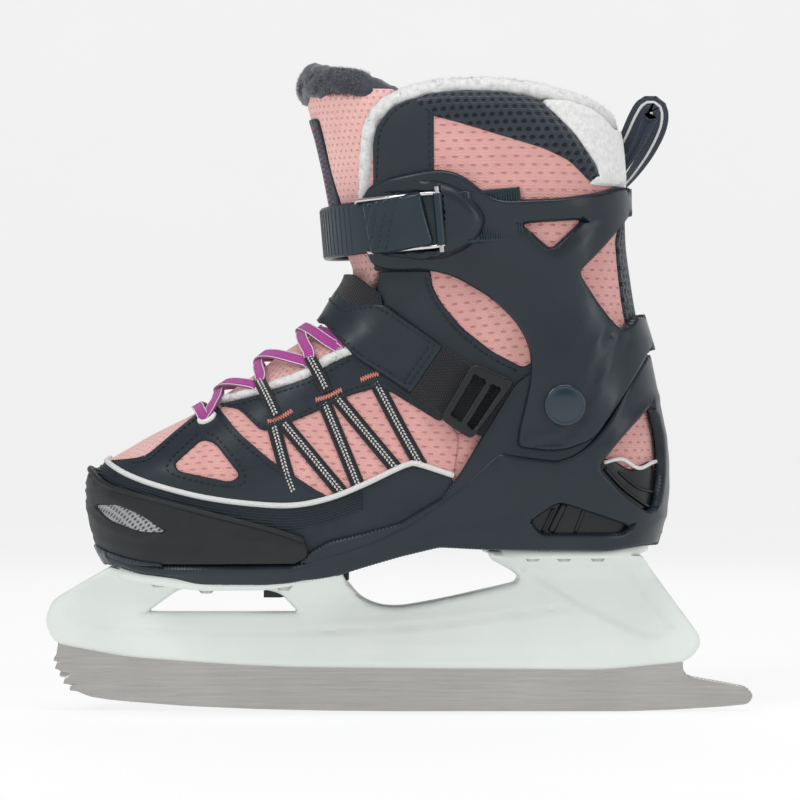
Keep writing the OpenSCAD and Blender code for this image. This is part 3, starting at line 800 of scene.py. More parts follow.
STEEL = steel_mat("brushed_steel", (0.50, 0.485, 0.47), 0.34, (1.2, 20, 34))
SCREW = steel_mat("screw_steel", (0.55, 0.55, 0.56), 0.3, (20, 20, 4))
CHROME = steel_mat("chrome_wire", (0.82, 0.82, 0.84), 0.14, (4, 4, 4))


# ---------------------------------------------------------------- lookups
def lerp_at(x, table):
    """Straight interpolation in a list of (x, value)."""
    if x <= table[0][0]:
        return table[0][1]
    for (a, va), (b, vb) in zip(table, table[1:]):
        if x <= b:
            return va + (vb - va) * (x - a) / (b - a)
    return table[-1][1]


def smooth01(t):
    t = min(max(t, 0.0), 1.0)
    return t * t * (3 - 2 * t)


def line_dist(points):
    """A function giving the distance from (x, z) to a line of points."""
    seg = [(np.array(a[:2], float), np.array(b[:2], float)) for a, b in zip(points, points[1:])]

    def f(x, z):
        best = 1e9
        for a, b in seg:
            dx, dz = b[0] - a[0], b[1] - a[1]
            t = min(max(((x - a[0]) * dx + (z - a[1]) * dz) / (dx * dx + dz * dz), 0), 1)
            best = min(best, math.hypot(x - a[0] - dx * t, z - a[1] - dz * t))
        return best
    return f


def area_depth(outline):
    """Signed distance to a closed outline, positive inside."""
    ring = [p[:2] for p in outline] + [outline[0][:2]]
    d = line_dist(ring)

    def f(x, z):
        odd = False
        for (ax, az), (bx, bz) in zip(ring, ring[1:]):
            if (az > z) != (bz > z) and x < ax + (z - az) * (bx - ax) / (bz - az):
                odd = not odd
        return d(x, z) if odd else -d(x, z)
    return f


# ---------------------------------------------------------------- blade
TEETH = []
for tip, root in (((-146, 21.2), (-143.7, 20.9)), ((-145, 17.7), (-142.2, 17.3)), ((-143.3, 14.6), (-140.3, 14.3)),
                  ((-141.5, 11.6), (-138.1, 11.1))):
    TEETH += [(*tip, 0.3), (*root, 0.4)]
BLADE_LINE = ([(-143, 33, 0), (-144.2, 23.7, 0.5)] + TEETH
              + [(-139, 8.5, 0.5), (-135.9, 8.6, 1), (-132.4, 7, 1), (-129.5, 6), (-121.7, 4.8), (-113.2, 4.0),
                 (-90, 2.2), (-60, 0.9), (-30, 0.25), (0, 0, 0), (95, 0, 0), (115, 0.7), (135, 1.9), (146.2, 3, 2),
                 (148.5, 6.3, 3), (145.7, 10.4, 3), (120.7, 15, 2), (118.7, 17.5, 1), (118.7, 24, 0), (100, 27, 0)])
blade = Panel(round_poly(BLADE_LINE, 1.0), step=5, edge=0.45, lip=0.72, thick=1.8, plane=lambda x, z: 0.0, twin=True)
make("skate_blade", blade.verts, blade.faces, STEEL, "boot", ("blade",), "steel_blade", blade.uvs, sharp=30)

# ---------------------------------------------------------------- holder
HOLDER_LINE = [(-148.6, 39.4, 6), (-148.1, 34.6, 3), (-144.5, 28.6, 3), (-115.5, 23, 8), (-72, 19.7, 12),
               (-43, 18.5, 10), (0, 18.1, 10), (84.6, 17.4, 10), (118.7, 20.7, 6), (123.3, 23.6, 4), (126, 28.2, 4),
               (125.3, 32.3, 4), (100.3, 66.2, 1), (36, 68.2, 1), (37.5, 64.5, 2), (46.8, 59.2, 2), (49.6, 56.7, 2.5),
               (47.9, 54.1, 3), (36.8, 51.6, 5), (16.4, 47, 8), (0, 44.2, 8), (-8.5, 44.6, 4), (-16.4, 47.8, 4),
               (-22.4, 54.7, 3), (-24.4, 59.0, 0.5), (-56, 55.5, 1), (-82, 55.5, 1), (-106, 58, 1), (-120.5, 61.5, 1),
               (-139.3, 50.7, 4), (-146.3, 46.3, 4)]
HOLDER_WINDOW = [(-106, 41.8, 2), (-91.8, 51.8, 3), (-58.2, 51.8, 3), (-50.2, 49.8, 3), (-42.6, 41.8, 2)]
WIDTHS = [(17, 4.6), (19, 5.0), (25, 5.25), (26.2, 5.9), (40, 6.8), (46, 7.6), (50, 9.2), (54, 12.5), (57, 17),
          (60, 20), (64, 23), (70, 24)]
TOWER_PANEL = [(48.5, 63.0), (92.5, 63.0), (115.5, 35.8), (112.0, 31.4), (102.5, 30.4), (71.5, 45.5), (50.5, 59.0)]
tower_depth = area_depth(TOWER_PANEL)
groove = line_dist([(-138.5, 43), (-136.5, 40), (-132.4, 37.4), (-110.6, 34.4), (-80, 33.4), (-46, 33.4), (-4, 35.3),
                    (20.4, 37.4), (48, 41.2), (70.8, 43.7)])
scoop = line_dist([(50, 57.7), (58, 51.5), (70.8, 43.7)])


def holder_height(x, z, d):
    wide = lerp_at(z, WIDTHS)
    if x > 20:                      # the heel tower is slimmer and flares later
        wide = min(wide, lerp_at(z, [(17, 4.6), (19, 5.0), (25, 5.25), (26.2, 5.9), (44, 7.0), (56, 9.5), (61, 13),
                                     (64, 19), (66, 23), (70, 24)]))
    nose = smooth01((x + 148.6) / 14)
    wide = 3.0 + (wide - 3.0) * nose if z < 52 else wide
    r = 2.6
    if d < r:
        wide -= (r - math.sqrt(max(r * r - (r - d) ** 2, 0))) * 0.95
    wide -= 0.55 * smooth01(1 - groove(x, z) / 1.1)
    wide += 0.35 * smooth01(1 - abs(groove(x, z) - 2.2) / 2.2)
    wide -= 1.5 * smooth01(tower_depth(x, z) / 1.8)
    wide -= 0.5 * smooth01(1 - scoop(x, z) / 2.5)
    return max(wide, 1.2)


holder = Panel(round_poly(HOLDER_LINE, 2.0, 6), holes=[round_poly(HOLDER_WINDOW, 2.0, 5)], step=2.0, edge=2.6,
               height=holder_height, plane=lambda x, z: 0.0, twin=True)
bag = Bag()
bag.add(holder.verts, holder.faces, holder.uvs)


def plate(bag, x0, x1, width, top, under, n=60, m=22, round_r=1.6):
    """A foot plate seen from above: half width, top and lower height are functions of x."""
    verts, faces = [], []
    ring = 2 * m
    for i in range(n + 1):
        x = x0 + (x1 - x0) * (0.5 - 0.5 * math.cos(math.pi * i / n))
        w = max(width(x), 0.05)
        t, u = top(x), under(x)
        r = min(round_r, (t - u) * 0.49, w * 0.5)
        for k in range(ring):
            y = w * math.cos(math.pi * k / m) if k <= m else w * math.cos(math.pi * (2 * m - k) / m)
            e = w - abs(y)
            drop = r - math.sqrt(max(r * r - (r - min(e, r)) ** 2, 0))
            verts.append((x, y, (t - drop) if k < m else (u + drop)) if 0 < k < m or k > m else (x, y, (t + u) / 2))
    for i in range(n):
        for k in range(ring):
            a, b = i * ring + k, i * ring + (k + 1) % ring
            faces.append((a, b, b + ring, a + ring))
    faces.append(tuple(reversed(range(ring))))
    faces.append(tuple(range(n * ring, (n + 1) * ring)))
    bag.add(verts, faces)


SOLE = [(-128, 72), (-121, 63), (-106, 59.2), (-82, 56.8), (-56, 56.5), (-46, 57.2), (-26, 60), (0, 67),
        (16, 70.5), (35, 69.6), (57, 69), (86, 68.8), (101, 70.8), (108, 75.5)]


def sole_z(x):
    return lerp_at(x, SOLE)


def oval(x0, x1, w, r0, r1):
    """Half width of a plate with elliptic ends of those lengths."""
    def f(x):
        a = max(0.0, min(1.0, (x0 + r0 - x) / r0))
        b = max(0.0, min(1.0, (x - x1 + r1) / r1))
        return w * math.sqrt(max(0, 1 - max(a, b) ** 2.3))
    return f


plate(bag, -121.5, -22.5, oval(-121.5, -22.5, 34, 34, 26), lambda x: sole_z(x) - 0.2,
      lambda x: lerp_at(x, [(-121.5, 59.4), (-115.7, 56.3), (-91.8, 53), (-80.9, 52), (-56.1, 52.2), (-36.3, 55.4),
                            (-24.4, 58.6), (-22, 59.2)]))
plate(bag, 34.5, 104.2, oval(34.5, 104.2, 30, 26, 30), lambda x: sole_z(x) - 0.2,
      lambda x: lerp_at(x, [(34.5, 67.2), (43.9, 64.9), (95.8, 65.2), (104, 67.8)]), n=40)
bag.make("blade_holder_white", WHITE, "boot", replaces=("blade_holder",), slot="holder_nylon", sharp=50)

# ---------------------------------------------------------------- heel shell
HEEL_FAR = 128
STEP = [(-22.9, 69.7), (-10, 73.8), (4, 80.5), (17, 89.9), (25.4, 95.8), (32, 101.5), (38.5, 107.6), (40.7, 109.0),
        (52, 107.2), (64.4, 105.8), (70.7, 107.9), (75.5, 110.8), (79.8, 114.8), (84, 119.6), (88.1, 125.4),
        (94, 135.0), (99.2, 143.3), (103.5, 149.0)]
SHELL_LOW = ([(-122, 63.4, 0)] + [(-106, 59.4), (-82, 57.0), (-56, 56.7), (-46, 57.4), (-26, 60.2), (0, 67), (16, 70.6),
              (35, 69.6), (57, 69.2), (86, 69.0), (100.8, 70.9), (HEEL_FAR, 71.5, 0), (HEEL_FAR, 150.0, 0)]
             + [(x, z, 1.2) for x, z in reversed(STEP)] + [(-36, 65.8), (-44, 63.6), (-60, 63.3), (-100, 63.3, 0)])
REAR_VENT = [(105.5, 128.4, 2), (92, 114.5, 3), (82.2, 103.4, 2.5), (92, 93.0, 3), (102.7, 84.6, 2), (107.2, 87.0, 1.5),
             (109.6, 100, 6), (109.2, 115, 5)]
LOW_VENT = [(65.1, 88.7, 3), (53.6, 80.9, 2), (57.8, 75.9, 2), (92.3, 75.9, 3), (96.0, 78.8, 2)]
WING = [(-42, 64.2, 1), (-37, 68.6), (-29.2, 73), (-15, 76.2), (0, 80.4), (17, 90.4), (25.5, 102.0), (33, 114.8),
        (40, 126), (46.3, 136.4), (52.9, 142, 3), (60, 144, 4), (69, 144, 4), (76.5, 139, 5), (81, 129, 5),
        (84, 117, 2), (80, 104, 1), (0, 72, 1), (-30, 64.0, 1)]
facet = line_dist([(41, 106.5), (45.5, 97), (50.5, 83), (57.5, 70.5)])
facet_low = line_dist([(-40, 58.8), (-20, 64.5), (0, 71.5), (20, 78.5), (40, 80), (50.5, 83)])
vent_edge = line_dist(REAR_VENT + [REAR_VENT[0]])


def shell_height(x, z, d):
    """Rounded edges, a sculpted facet behind the arch and a raised frame round the heel vent."""
    h = edge_profile(d, 3.3, 1.9, 0.4)
    side_x = x - lerp_at(z, [(70.5, 57.5), (83, 50.5), (97, 45.5), (106.5, 41)])
    h -= 0.8 * smooth01(-side_x / 2.0 + 0.5) * smooth01((z - lerp_at(x, [(-40, 58.8), (-20, 64.5), (0, 71.5), (20, 78.5),
                                                                        (40, 80), (60, 83)])) / 2.2 + 0.5)
    h += 0.55 * smooth01(1 - abs(vent_edge(x, z) - 3.2) / 2.6)
    h -= 0.5 * smooth01(1 - facet(x, z) / 1.1)
    return h


low = Panel(round_poly(SHELL_LOW, 1.5), holes=[round_poly(LOW_VENT, 1.5), round_poly(REAR_VENT, 1.5)], step=2.6, edge=1.9,
            height=shell_height, off=0.7, under=0.7, seen=4.0)
wing = Panel(round_poly(WING, 1.5), step=3.4, edge=1.0, thick=1.9, off=0.7, under=0.7, lip=0.45, seen=2.6)


bag = Bag()
for p in (low, wing):
    v, f, uv = both(p)
    bag.add(v, f, uv)


def sole_width(x):
    """Half width of the moulded sole under the boot."""
    z = sole_z(x) + 3
    front, ball, wb, heel, wh, rear = level(z)
    s = s_of(x, z, 3.5)
    return abs(base_point(s, z).y) + 2.6 * math.sqrt(max(0.02, 1 - max(0, (abs(x + 10) - 95) / 22) ** 2))


plate(bag, -122.5, 110, sole_width, lambda x: max(min(sole_z(x) + 4, 75), 63.2), lambda x: sole_z(x) + 0.15, n=90, m=24,
      round_r=1.8)
bag.make("heel_shell", NAVY, "boot", replaces=("rear_shell",), slot="navy_shell", sharp=40, doubles=0.02)

# ---------------------------------------------------------------- toe
FRONT_FAR = -142
TOE_TOP = [(FRONT_FAR, 100.6, 0), (-128, 99.4), (-120.8, 95.0), (-105, 90.6), (-80.6, 84.6), (-60, 79.6), (-47.1, 76.0),
           (-38.5, 73.0, 2)]
BAND_TOP = [(FRONT_FAR, 71.6, 0), (-128, 71.2), (-121, 68.6), (-114.1, 66.8), (-106, 65.4), (-99, 64.9)]
VENT_LENS = [(-127.2, 86.9, 2), (-117, 87.4, 2), (-106, 83.0, 3), (-96.7, 76.9, 1.5), (-107, 76.8, 3), (-121, 81.5, 3)]
lens = line_dist(VENT_LENS + [VENT_LENS[0]])
ridge_a = line_dist([(-131, 92.5), (-121, 92.0), (-106, 87.4), (-90, 80.0), (-72, 75.6), (-52, 72.6), (-40, 70.8)])
ridge_b = line_dist([(-131, 76.0), (-117, 74.4), (-103, 72.0), (-84, 71.2), (-60, 69.4), (-42, 67.6)])
ridge_c = line_dist([(-131, 96.2), (-119, 95.0), (-104, 90.8), (-84, 84.4)])


def toe_height(x, z, d):
    h = edge_profile(d, 2.1, 1.3, 0.45)
    h += 0.55 * smooth01(1 - abs(lens(x, z) - 2.0) / 1.5)
    h += 0.75 * smooth01(1 - ridge_a(x, z) / 1.7) - 0.45 * smooth01(1 - ridge_b(x, z) / 1.3)
    h += 0.45 * smooth01(1 - ridge_c(x, z) / 1.3)
    return h


panel("toe_shell_black", TOE_TOP + [(-37.5, 67.0, 2), (-43, 64.2, 1), (-120, 63.9, 1), (FRONT_FAR, 63.9, 0)], TOE, "toe",
      replaces=("toe_shell",), slot="toe_black", corner=2.0, step=1.7, edge=1.3, height=toe_height, off=0.4, under=0.4,
      seen=2.6, holes=[round_poly(VENT_LENS, 2)])
panel("toe_band_navy", BAND_TOP + [(-98, 63.9, 1), (FRONT_FAR, 63.8, 0)], NAVY, "toe", slot="navy_shell", corner=1.0,
      step=3.0, edge=1.0, thick=1.1, off=2.3, lip=0.45, seen=3.4)
panel("toe_vent_mesh", [(-128, 88.5), (-115, 88.6), (-96, 76.5), (-100, 74.5), (-121, 80)], VENT_MESH, "toe",
      replaces=("toe_vents",), slot="grey_mesh", step=1.6, edge=0.3, thick=0.6, off=1.1, lip=0.6, seen=2.6)
bag = Bag()
rim = [(-128, 99.6), (-120.8, 95.2), (-105, 90.8), (-80.6, 84.8), (-60, 79.8), (-47.1, 76.2), (-39.5, 73.6)]


def wrap_front(path, off, step=1.5, seen=None):
    """A side-view line carried round the toe to the other side."""
    line = spaced(catmull(path), step)
    half = [(s_of(x, z, off if seen is None else seen), z) for x, z in line]
    z0 = half[0][1]
    k = max(2, int(half[0][0] * 75 / step))
    ahead = [(half[0][0] * i / k, z0 + 0.9 * (1 - i / k)) for i in range(k)]
    one = ahead + half
    full = [(-s, z) for s, z in reversed(one[1:])] + one
    return [surf(s, z, off) for s, z in full], [normal_at(s, z) for s, z in full]


pts, nor = wrap_front(rim, 2.2)
bag.add(*sweep(pts, nor, [(x * 0.9, y * 1.25) for x, y in circle(1.3, 12)]))
bag.make("toe_ribs", TOE, "toe", slot="toe_black")

# soft part of the toe and the sides
VAMP_SKIN = [(FRONT_FAR, 72, 0), (FRONT_FAR, 160.5, 0), (-33, 160.5, 1), (-22, 157, 4), (-4, 141, 4), (18, 124, 3),
             (24, 116, 3), (20, 84, 2), (-30, 70, 2)]
panel("vamp_side_mesh", VAMP_SKIN, SIDE_MESH, "toe", replaces=("vamp",), slot="pink_mesh", step=3.2, edge=0.8, thick=0.5,
      off=-0.6, under=-4.0, corner=2)
# lighter mesh over the top of the toe and the tongue
TOP_MESH = [(FRONT_FAR, 104.6, 0), (FRONT_FAR, 160.3, 0), (-34, 160.2, 1), (-27, 151, 2), (-38, 143, 2), (-58, 134, 3),
            (-73, 128.2, 2), (-86, 121, 2), (-104, 105.8, 2), (-121, 103.8, 2)]
panel("vamp_top_mesh", TOP_MESH, VAMP_MESH, "toe", slot="pink_mesh", step=2.6, edge=0.8, thick=0.45, off=-0.05, under=-0.5,
      corner=2)
# finely ribbed rand above the toe cap
RAND_LINE = [(-123.1, 104.6), (-114.1, 100.4), (-100.7, 95.8), (-80.6, 90.9), (-60.5, 88.2), (-43.8, 87.6),
             (-29.2, 90.4), (-15.3, 95.8), (-3.0, 101.6), (3.4, 104.2), (7.5, 104.2), (22, 99.6)]
panel("toe_rand", [(FRONT_FAR, 105.4, 0)] + RAND_LINE + [(22, 84, 2), (-26, 68.2, 2), (-40, 64.6, 2), (-60, 66), (-90, 72), (FRONT_FAR, 72, 0)], RAND,
      "toe", slot="navy_leather", step=2.8, edge=0.5, thick=0.5, off=-0.1, corner=4)
bag = Bag()
for k in range(1, 9):
    line = [(x, z - 1.15 * k - 0.3) for x, z in RAND_LINE[:8]]
    line = [(x, z) for x, z in line]
    pts, nor = wrap_front(line, 0.42, 2.2)
    bag.add(*sweep(pts, nor, [(x, y * 0.7) for x, y in circle(0.42, 6)]))
bag.make("rand_ribs", RAND, "toe", slot="navy_leather")
pts, nor = wrap_front(RAND_LINE, 0.85)
bag = Bag()
bag.add(*sweep(pts, nor, circle(1.15, 12)))
bag.make("white_piping", PIPING, "toe", slot="eyelet_white")

TOE_OVERLAY = [(-121.3, 104.9, 2), (-112, 105.9), (-107.8, 106.5), (-103.6, 107.9, 3), (-94, 116.2), (-84.1, 124.6),
               (-78.4, 128.6, 2), (-75, 127.4, 2), (-66, 116.9, 4), (-52, 105.1, 4), (-33.4, 93.2, 3), (-29, 90.8, 1),
               (-43.8, 87.8, 3), (-60.5, 88.4), (-80.6, 91.2), (-100.7, 96.1), (-114.1, 100.8, 3)]
OVERLAY_HOLE = [(-81.3, 114.4, 2), (-92.4, 104.4, 2), (-90.7, 101.4, 2), (-69.5, 97.1, 2), (-65.3, 99.5, 2),
                (-75.7, 112.8, 3)]
panel("toe_overlay", TOE_OVERLAY, LEATHER, "toe", slot="navy_leather", holes=[round_poly(OVERLAY_HOLE, 2)], step=2.2,
      edge=0.8, thick=1.0, off=0.0, under=-0.6, corner=1.5)
EYESTAY = [(-75.2, 128.3, 1), (-60.4, 131.6, 3), (-38.1, 139.2), (-29.3, 144.8), (-18.9, 150.3, 2), (-8, 146, 3),
           (6, 136, 3), (20, 126, 3), (16.5, 121.5, 2), (-4.9, 134.6, 3), (-11.2, 135.2), (-20.2, 132.6),
           (-36.2, 125.0), (-50.2, 119.2, 3), (-56.9, 117.8, 2), (-66.3, 127.0, 3)]
panel("eyestay", EYESTAY, LEATHER, "toe", slot="navy_leather", step=2.2, edge=0.8, thick=1.1, off=0.1, under=-0.6,
      corner=1.5)

# ---------------------------------------------------------------- soft heel, collar and tongue
QUARTER = [(-24, 148, 2), (-6, 137, 2), (10, 126, 2), (20, 112, 2), (12, 78, 2), (24, 76, 1), (HEEL_FAR, 76, 0),
           (HEEL_FAR, 157, 0), (80, 157, 2), (60, 160, 2), (20, 160, 2), (0, 158, 2)]
quarter = panel("heel_side_mesh", QUARTER, SIDE_MESH, "boot", replaces=("heel_liner",), slot="pink_mesh", step=3.6, edge=0.8,
      thick=0.5, off=-1.7, under=-5.0, corner=2)
# stretch lining: it shows only when the toe is drawn out, where it closes the gap
panel("stretch_lining", [(FRONT_FAR, 132, 0), (-38, 122, 2), (-41, 100, 2), (-45, 74, 1), (19, 74, 1), (26, 112, 2),
                         (16, 130, 2), (0, 143, 2), (-18, 154, 2), (FRONT_FAR, 160, 0)], VAMP_MESH, "boot", slot="pink_mesh",
      step=3.4, edge=0.8, off=0.0, under=-9.6, corner=2, height=lambda x, z, d: -8.2 + 3.6 * smooth01((x - 2) / 20))
COLLAR_TOP = [(-11.5, 236), (-10.3, 243), (-6.5, 248.5), (-1.9, 252.2), (5, 255.6), (12.8, 257.6), (27, 258.8),
              (42.2, 258.6), (55, 257), (67.4, 254.2), (77, 251.6), (83.5, 247.5), (88.5, 242)]
COLLAR_BODY = [(4, 178, 1), (4, 243, 2), (12, 251), (27, 253.5), (42, 253), (55, 250), (64, 246), (74, 236), (83, 224),
               (HEEL_FAR, 224, 0), (HEEL_FAR, 148, 0), (60, 140, 1), (20, 138, 1), (0, 150, 1), (-8, 166, 1)]
panel("collar_side_mesh", COLLAR_BODY, SIDE_MESH, "cuff", replaces=("collar",), slot="collar_fabric", step=3.4, edge=1.0,
      thick=0.6, off=-0.6, under=-1.2, corner=1.5)
INNER = [(-12, 168, 1), (-12.4, 238, 2)] + [(x, z - 0.5) for x, z in COLLAR_TOP[1:-1]] + [(87, 242, 2), (HEEL_FAR, 240, 0),
                                                                                     (HEEL_FAR, 152, 0), (20, 146, 1)]
lining = panel("collar_lining", INNER, FUR, "cuff", slot="collar_fabric", step=4.0, edge=1.0, thick=1.5, off=-7.6, under=-9.0,
               corner=1.5)
FACING = [(-10.4, 184, 1), (-11.0, 236, 2), (-9.4, 243), (-4.5, 249.5), (1.5, 253.0, 2), (7, 254.6, 2), (13.8, 251.0, 3),
          (14.1, 200, 1), (13.6, 184, 1)]
panel("collar_facing", FACING, LEATHER, "cuff", slot="collar_fabric", step=2.4, edge=0.8, thick=1.0, off=0.0, under=-0.8,
      corner=1.5)
BAND = [(5.2, 253.6, 1), (12, 256.3), (27, 257.6), (42, 257.0), (53, 254.8), (63, 250.3), (72.7, 240.6), (79.5, 231.0),
        (84.0, 222.0, 2), (81.0, 218.4, 2), (77.6, 221.0), (69.3, 228.9), (58.8, 233.7), (37.9, 240.0),
        (25, 244.0), (14.1, 246.8), (8, 249.5, 2)]


def padded_band(x, z, d):
    return 0.4 + 3.2 * (1 - (1 - min(d / 8.5, 1)) ** 2)


band = panel("collar_band", BAND, COLLAR_MESH, "cuff", slot="collar_fabric", step=2.4, edge=3.0, height=padded_band,
             off=-0.1, under=-1.0, corner=2.5)
heel_fur = panel("collar_heel_fur", [(58, 253.6, 2), (67.4, 253.8), (77, 251.2), (84, 247.0), (87, 243, 2), (HEEL_FAR, 240.5, 0),
                         (HEEL_FAR, 219, 0), (78, 219, 1), (80, 226), (70, 240), (61, 249)], FUR, "cuff", slot="collar_fabric",
      step=2.2, edge=2.6, thick=2.4, off=0.0, under=-0.6, corner=2)
ANKLE = [(-8.3, 184, 1), (-9.4, 176, 2), (-9.5, 167, 2), (3, 157), (20, 147), (36, 139), (54, 131, 1), (60, 150, 1),
         (50.6, 143.9), (38, 150.5), (26, 160.0), (17.5, 170.0), (13.4, 177.1), (12.6, 184, 1)]
panel("ankle_leather", ANKLE, LEATHER, "cuff", slot="collar_fabric", step=2.4, edge=0.8, thick=0.8, off=0.0, under=-0.8,
      corner=2)
STAY = [(90.6, 203, 1), (89.2, 196), (90.2, 184), (91.6, 172), (93.1, 163), (HEEL_FAR, 163, 0), (HEEL_FAR, 214, 0),
        (90.5, 214, 1)]
panel("heel_stay", STAY, COLLAR_MESH, "cuff", slot="collar_fabric", step=2.4, edge=0.8, thick=1.2, off=0.0, under=-0.8,
      corner=1)

# white plush binding round the collar: a soft roll with short pile
RIM = [(-10.6, 184), (-11.6, 191), (-12.6, 200), (-13.0, 216), (-12.6, 229), (-11.9, 238), (-10.2, 245.0), (-5.8, 251.3),
       (0.5, 255.2), (12, 259.0), (27, 260.4), (42, 260.2), (56, 258.4), (67.4, 255.6), (77.5, 252.8), (84.5, 248.8),
       (88.5, 243.5)]


def wrap_back(path, off, step=1.5):
    """A side-view line on both sides, joined round the heel."""
    line = spaced(catmull(path), step)
    half = [(s_of(x, z, off), z) for x, z in line]
    s1, z1 = half[-1]
    k = max(2, int((3 - s1) * 55 / step))
    half += [(s1 + (3 - s1) * i / k, z1 - 1.5 * smooth01(i / k)) for i in range(1, k + 1)]
    other = [(-s, z) for s, z in reversed(half[:-1])]
    full = half + other
    pts = [surf(s, z, off) for s, z in full]
    return pts, [normal_at(s, z) for s, z in full]


def fuzz(bag, pts, nor, radius, count, length, thick=0.16, seed=3, squash_y=1.0):
    """Short tapered fibres standing on a roll."""
    rnd = random.Random(seed)
    n = len(pts)
    for _ in range(count):
        f = rnd.random() * (n - 1)
        i = int(f)
        p = pts[i].lerp(pts[min(i + 1, n - 1)], f - i)
        t = (pts[min(i + 1, n - 1)] - pts[max(i - 1, 0)]).normalized()
        a = nor[i]
        b = t.cross(a).normalized()
        g = rnd.uniform(-math.pi, math.pi)
        d = (a * math.cos(g) * squash_y + b * math.sin(g)).normalized()
        root = p + (a * math.cos(g) * radius * squash_y + b * math.sin(g) * radius) * 0.9
        lean = Vector((rnd.gauss(0, 0.5), rnd.gauss(0, 0.5), rnd.gauss(0, 0.5)))
        tip = root + (d + lean * 0.8).normalized() * length * rnd.uniform(0.6, 1.3)
        u = d.cross(lean).normalized() * thick
        w = d.cross(u).normalized() * thick
        bag.add([root + u, root - u * 0.5 + w, root - u * 0.5 - w, tip],
                [(0, 1, 2), (0, 3, 1), (1, 3, 2), (2, 3, 0)])


def roll(pts, nor, radius, bumpy=0.35, flat=1.0, seg=14):
    """A soft roll whose radius wavers."""
    v, f, uv = sweep(pts, nor, [(x, y * flat) for x, y in circle(radius, seg)])
    n = len(pts)
    out = []
    for i, p in enumerate(v):
        c = pts[i // seg]
        k = 1 + bumpy * noise.noise(Vector(p) * 0.28) + bumpy * 0.5 * noise.noise(Vector(p) * 0.9)
        out.append(c + (p - c) * k)
    return out, f, uv


bag = Bag()
pts, nor = wrap_back(RIM, -3.2, 1.3)
pts = [p - n * 2.2 * smooth01((206 - p.z) / 20) for p, n in zip(pts, nor)]
bag.add(*roll(pts, nor, 3.5, 0.22, 1.15))
fuzz(bag, pts, nor, 3.5, 9000, 1.3, 0.13, squash_y=1.15)
bag.make("collar_fur", FUR, "cuff", slot="collar_fabric")

# tongue: a padded slab that wraps the shin, light mesh outside, plush inside and over the top


def tongue_grid(name, z0, z1, s1, off, thick, mat, top=0.0, replaces=(), slot="tongue_plush", n=56, m=44, bulge=None,
                body="cuff"):
    verts, faces, uvs = [], [], []
    ring = 2 * m
    for i in range(n + 1):
        t = i / n
        z = z0 + (z1 - z0) * t
        end = math.sqrt(max(0.0, 1 - max(0.0, (t - 1 + top) / top) ** 2.2)) if top else 1.0
        for k in range(ring):
            g = 2 * math.pi * k / ring
            a = math.copysign(abs(math.cos(g)) ** 0.9, math.cos(g))
            e = math.sin(g)
            prof = math.copysign(abs(e) ** 0.45, e)
            smax = s1(z) if callable(s1) else s1
            s = -smax * a
            depth = off - thick / 2 + prof * thick / 2 * end
            if bulge:
                depth += bulge(s, z, prof)
            p = surf(s, z, depth)
            verts.append(p)
            uvs.append(arc_uv(s, z, True))
    for i in range(n):
        for k in range(ring):
            a, b = i * ring + k, i * ring + (k + 1) % ring
            faces.append((a, b, b + ring, a + ring))
    faces.append(tuple(reversed(range(ring))))
    faces.append(tuple(range(n * ring, (n + 1) * ring)))
    return make(name, verts, faces, mat, body, replaces, slot, uvs)


def tongue_edge(z):
    return lerp_at(z, [(150, 0.55), (176, 0.42), (190, 0.50), (212, 0.56), (225, 0.58), (245, 0.66), (262, 0.74)])


tongue = tongue_grid("tongue_pad", 168, 259, tongue_edge, -0.2, 7.5, VAMP_MESH, replaces=("tongue",), n=60,
                     bulge=lambda s, z, p: 0.8 * math.exp(-((z - 224) / 12) ** 2) * (1 if p > 0 else 0))
# plush top of the tongue, folded over the edge, with a dip in the middle
bag = Bag()
verts, faces, uvs = [], [], []
N_ROLL, SEG = 90, 22
path, pn = [], []
for i in range(N_ROLL + 1):
    s = -0.84 + 1.68 * i / N_ROLL
    dip = 3.0 * math.exp(-(s / 0.10) ** 2)
    z = 263.6 - dip * 1.6 - 11.0 * abs(s / 0.8) ** 3.2 + 0.8 * math.cos(s * 11)
    path.append(surf(s, z, -3.4 - 7.0 * smooth01((abs(s) - 0.5) / 0.34)))
    pn.append(normal_at(s, z))


def plush_roll(pts, nor, radius, squash_v, wave, seed):
    v, f, uv = sweep(pts, nor, [(x * squash_v, y) for x, y in circle(radius, SEG)],
                     scale=lambda t: max(0.12, math.sin(math.pi * min(max(t, 0.0), 1.0)) ** 0.35))
    out = []
    for i, p in enumerate(v):
        c = pts[i // SEG]
        k = 1 + wave * noise.noise(Vector(p) * 0.22 + Vector((seed, 0, 0))) + wave * 0.4 * noise.noise(Vector(p) * 0.8)
        out.append(c + (p - c) * k)
    return out, f, uv


bag.add(*plush_roll(path, pn, 6.2, 1.15, 0.22, 1))
fuzz(bag, path[14:-14], pn[14:-14], 6.3, 9000, 1.5, 0.15, seed=5)
bag.make("tongue_plush_top", GREY_FUR, "cuff", slot="tongue_plush")
# inner face of the tongue
inner = tongue_grid("tongue_inner_plush", 170, 257, lambda z: tongue_edge(z) * 0.97, -7.2, 2.0, GREY_FUR, n=40, m=30)
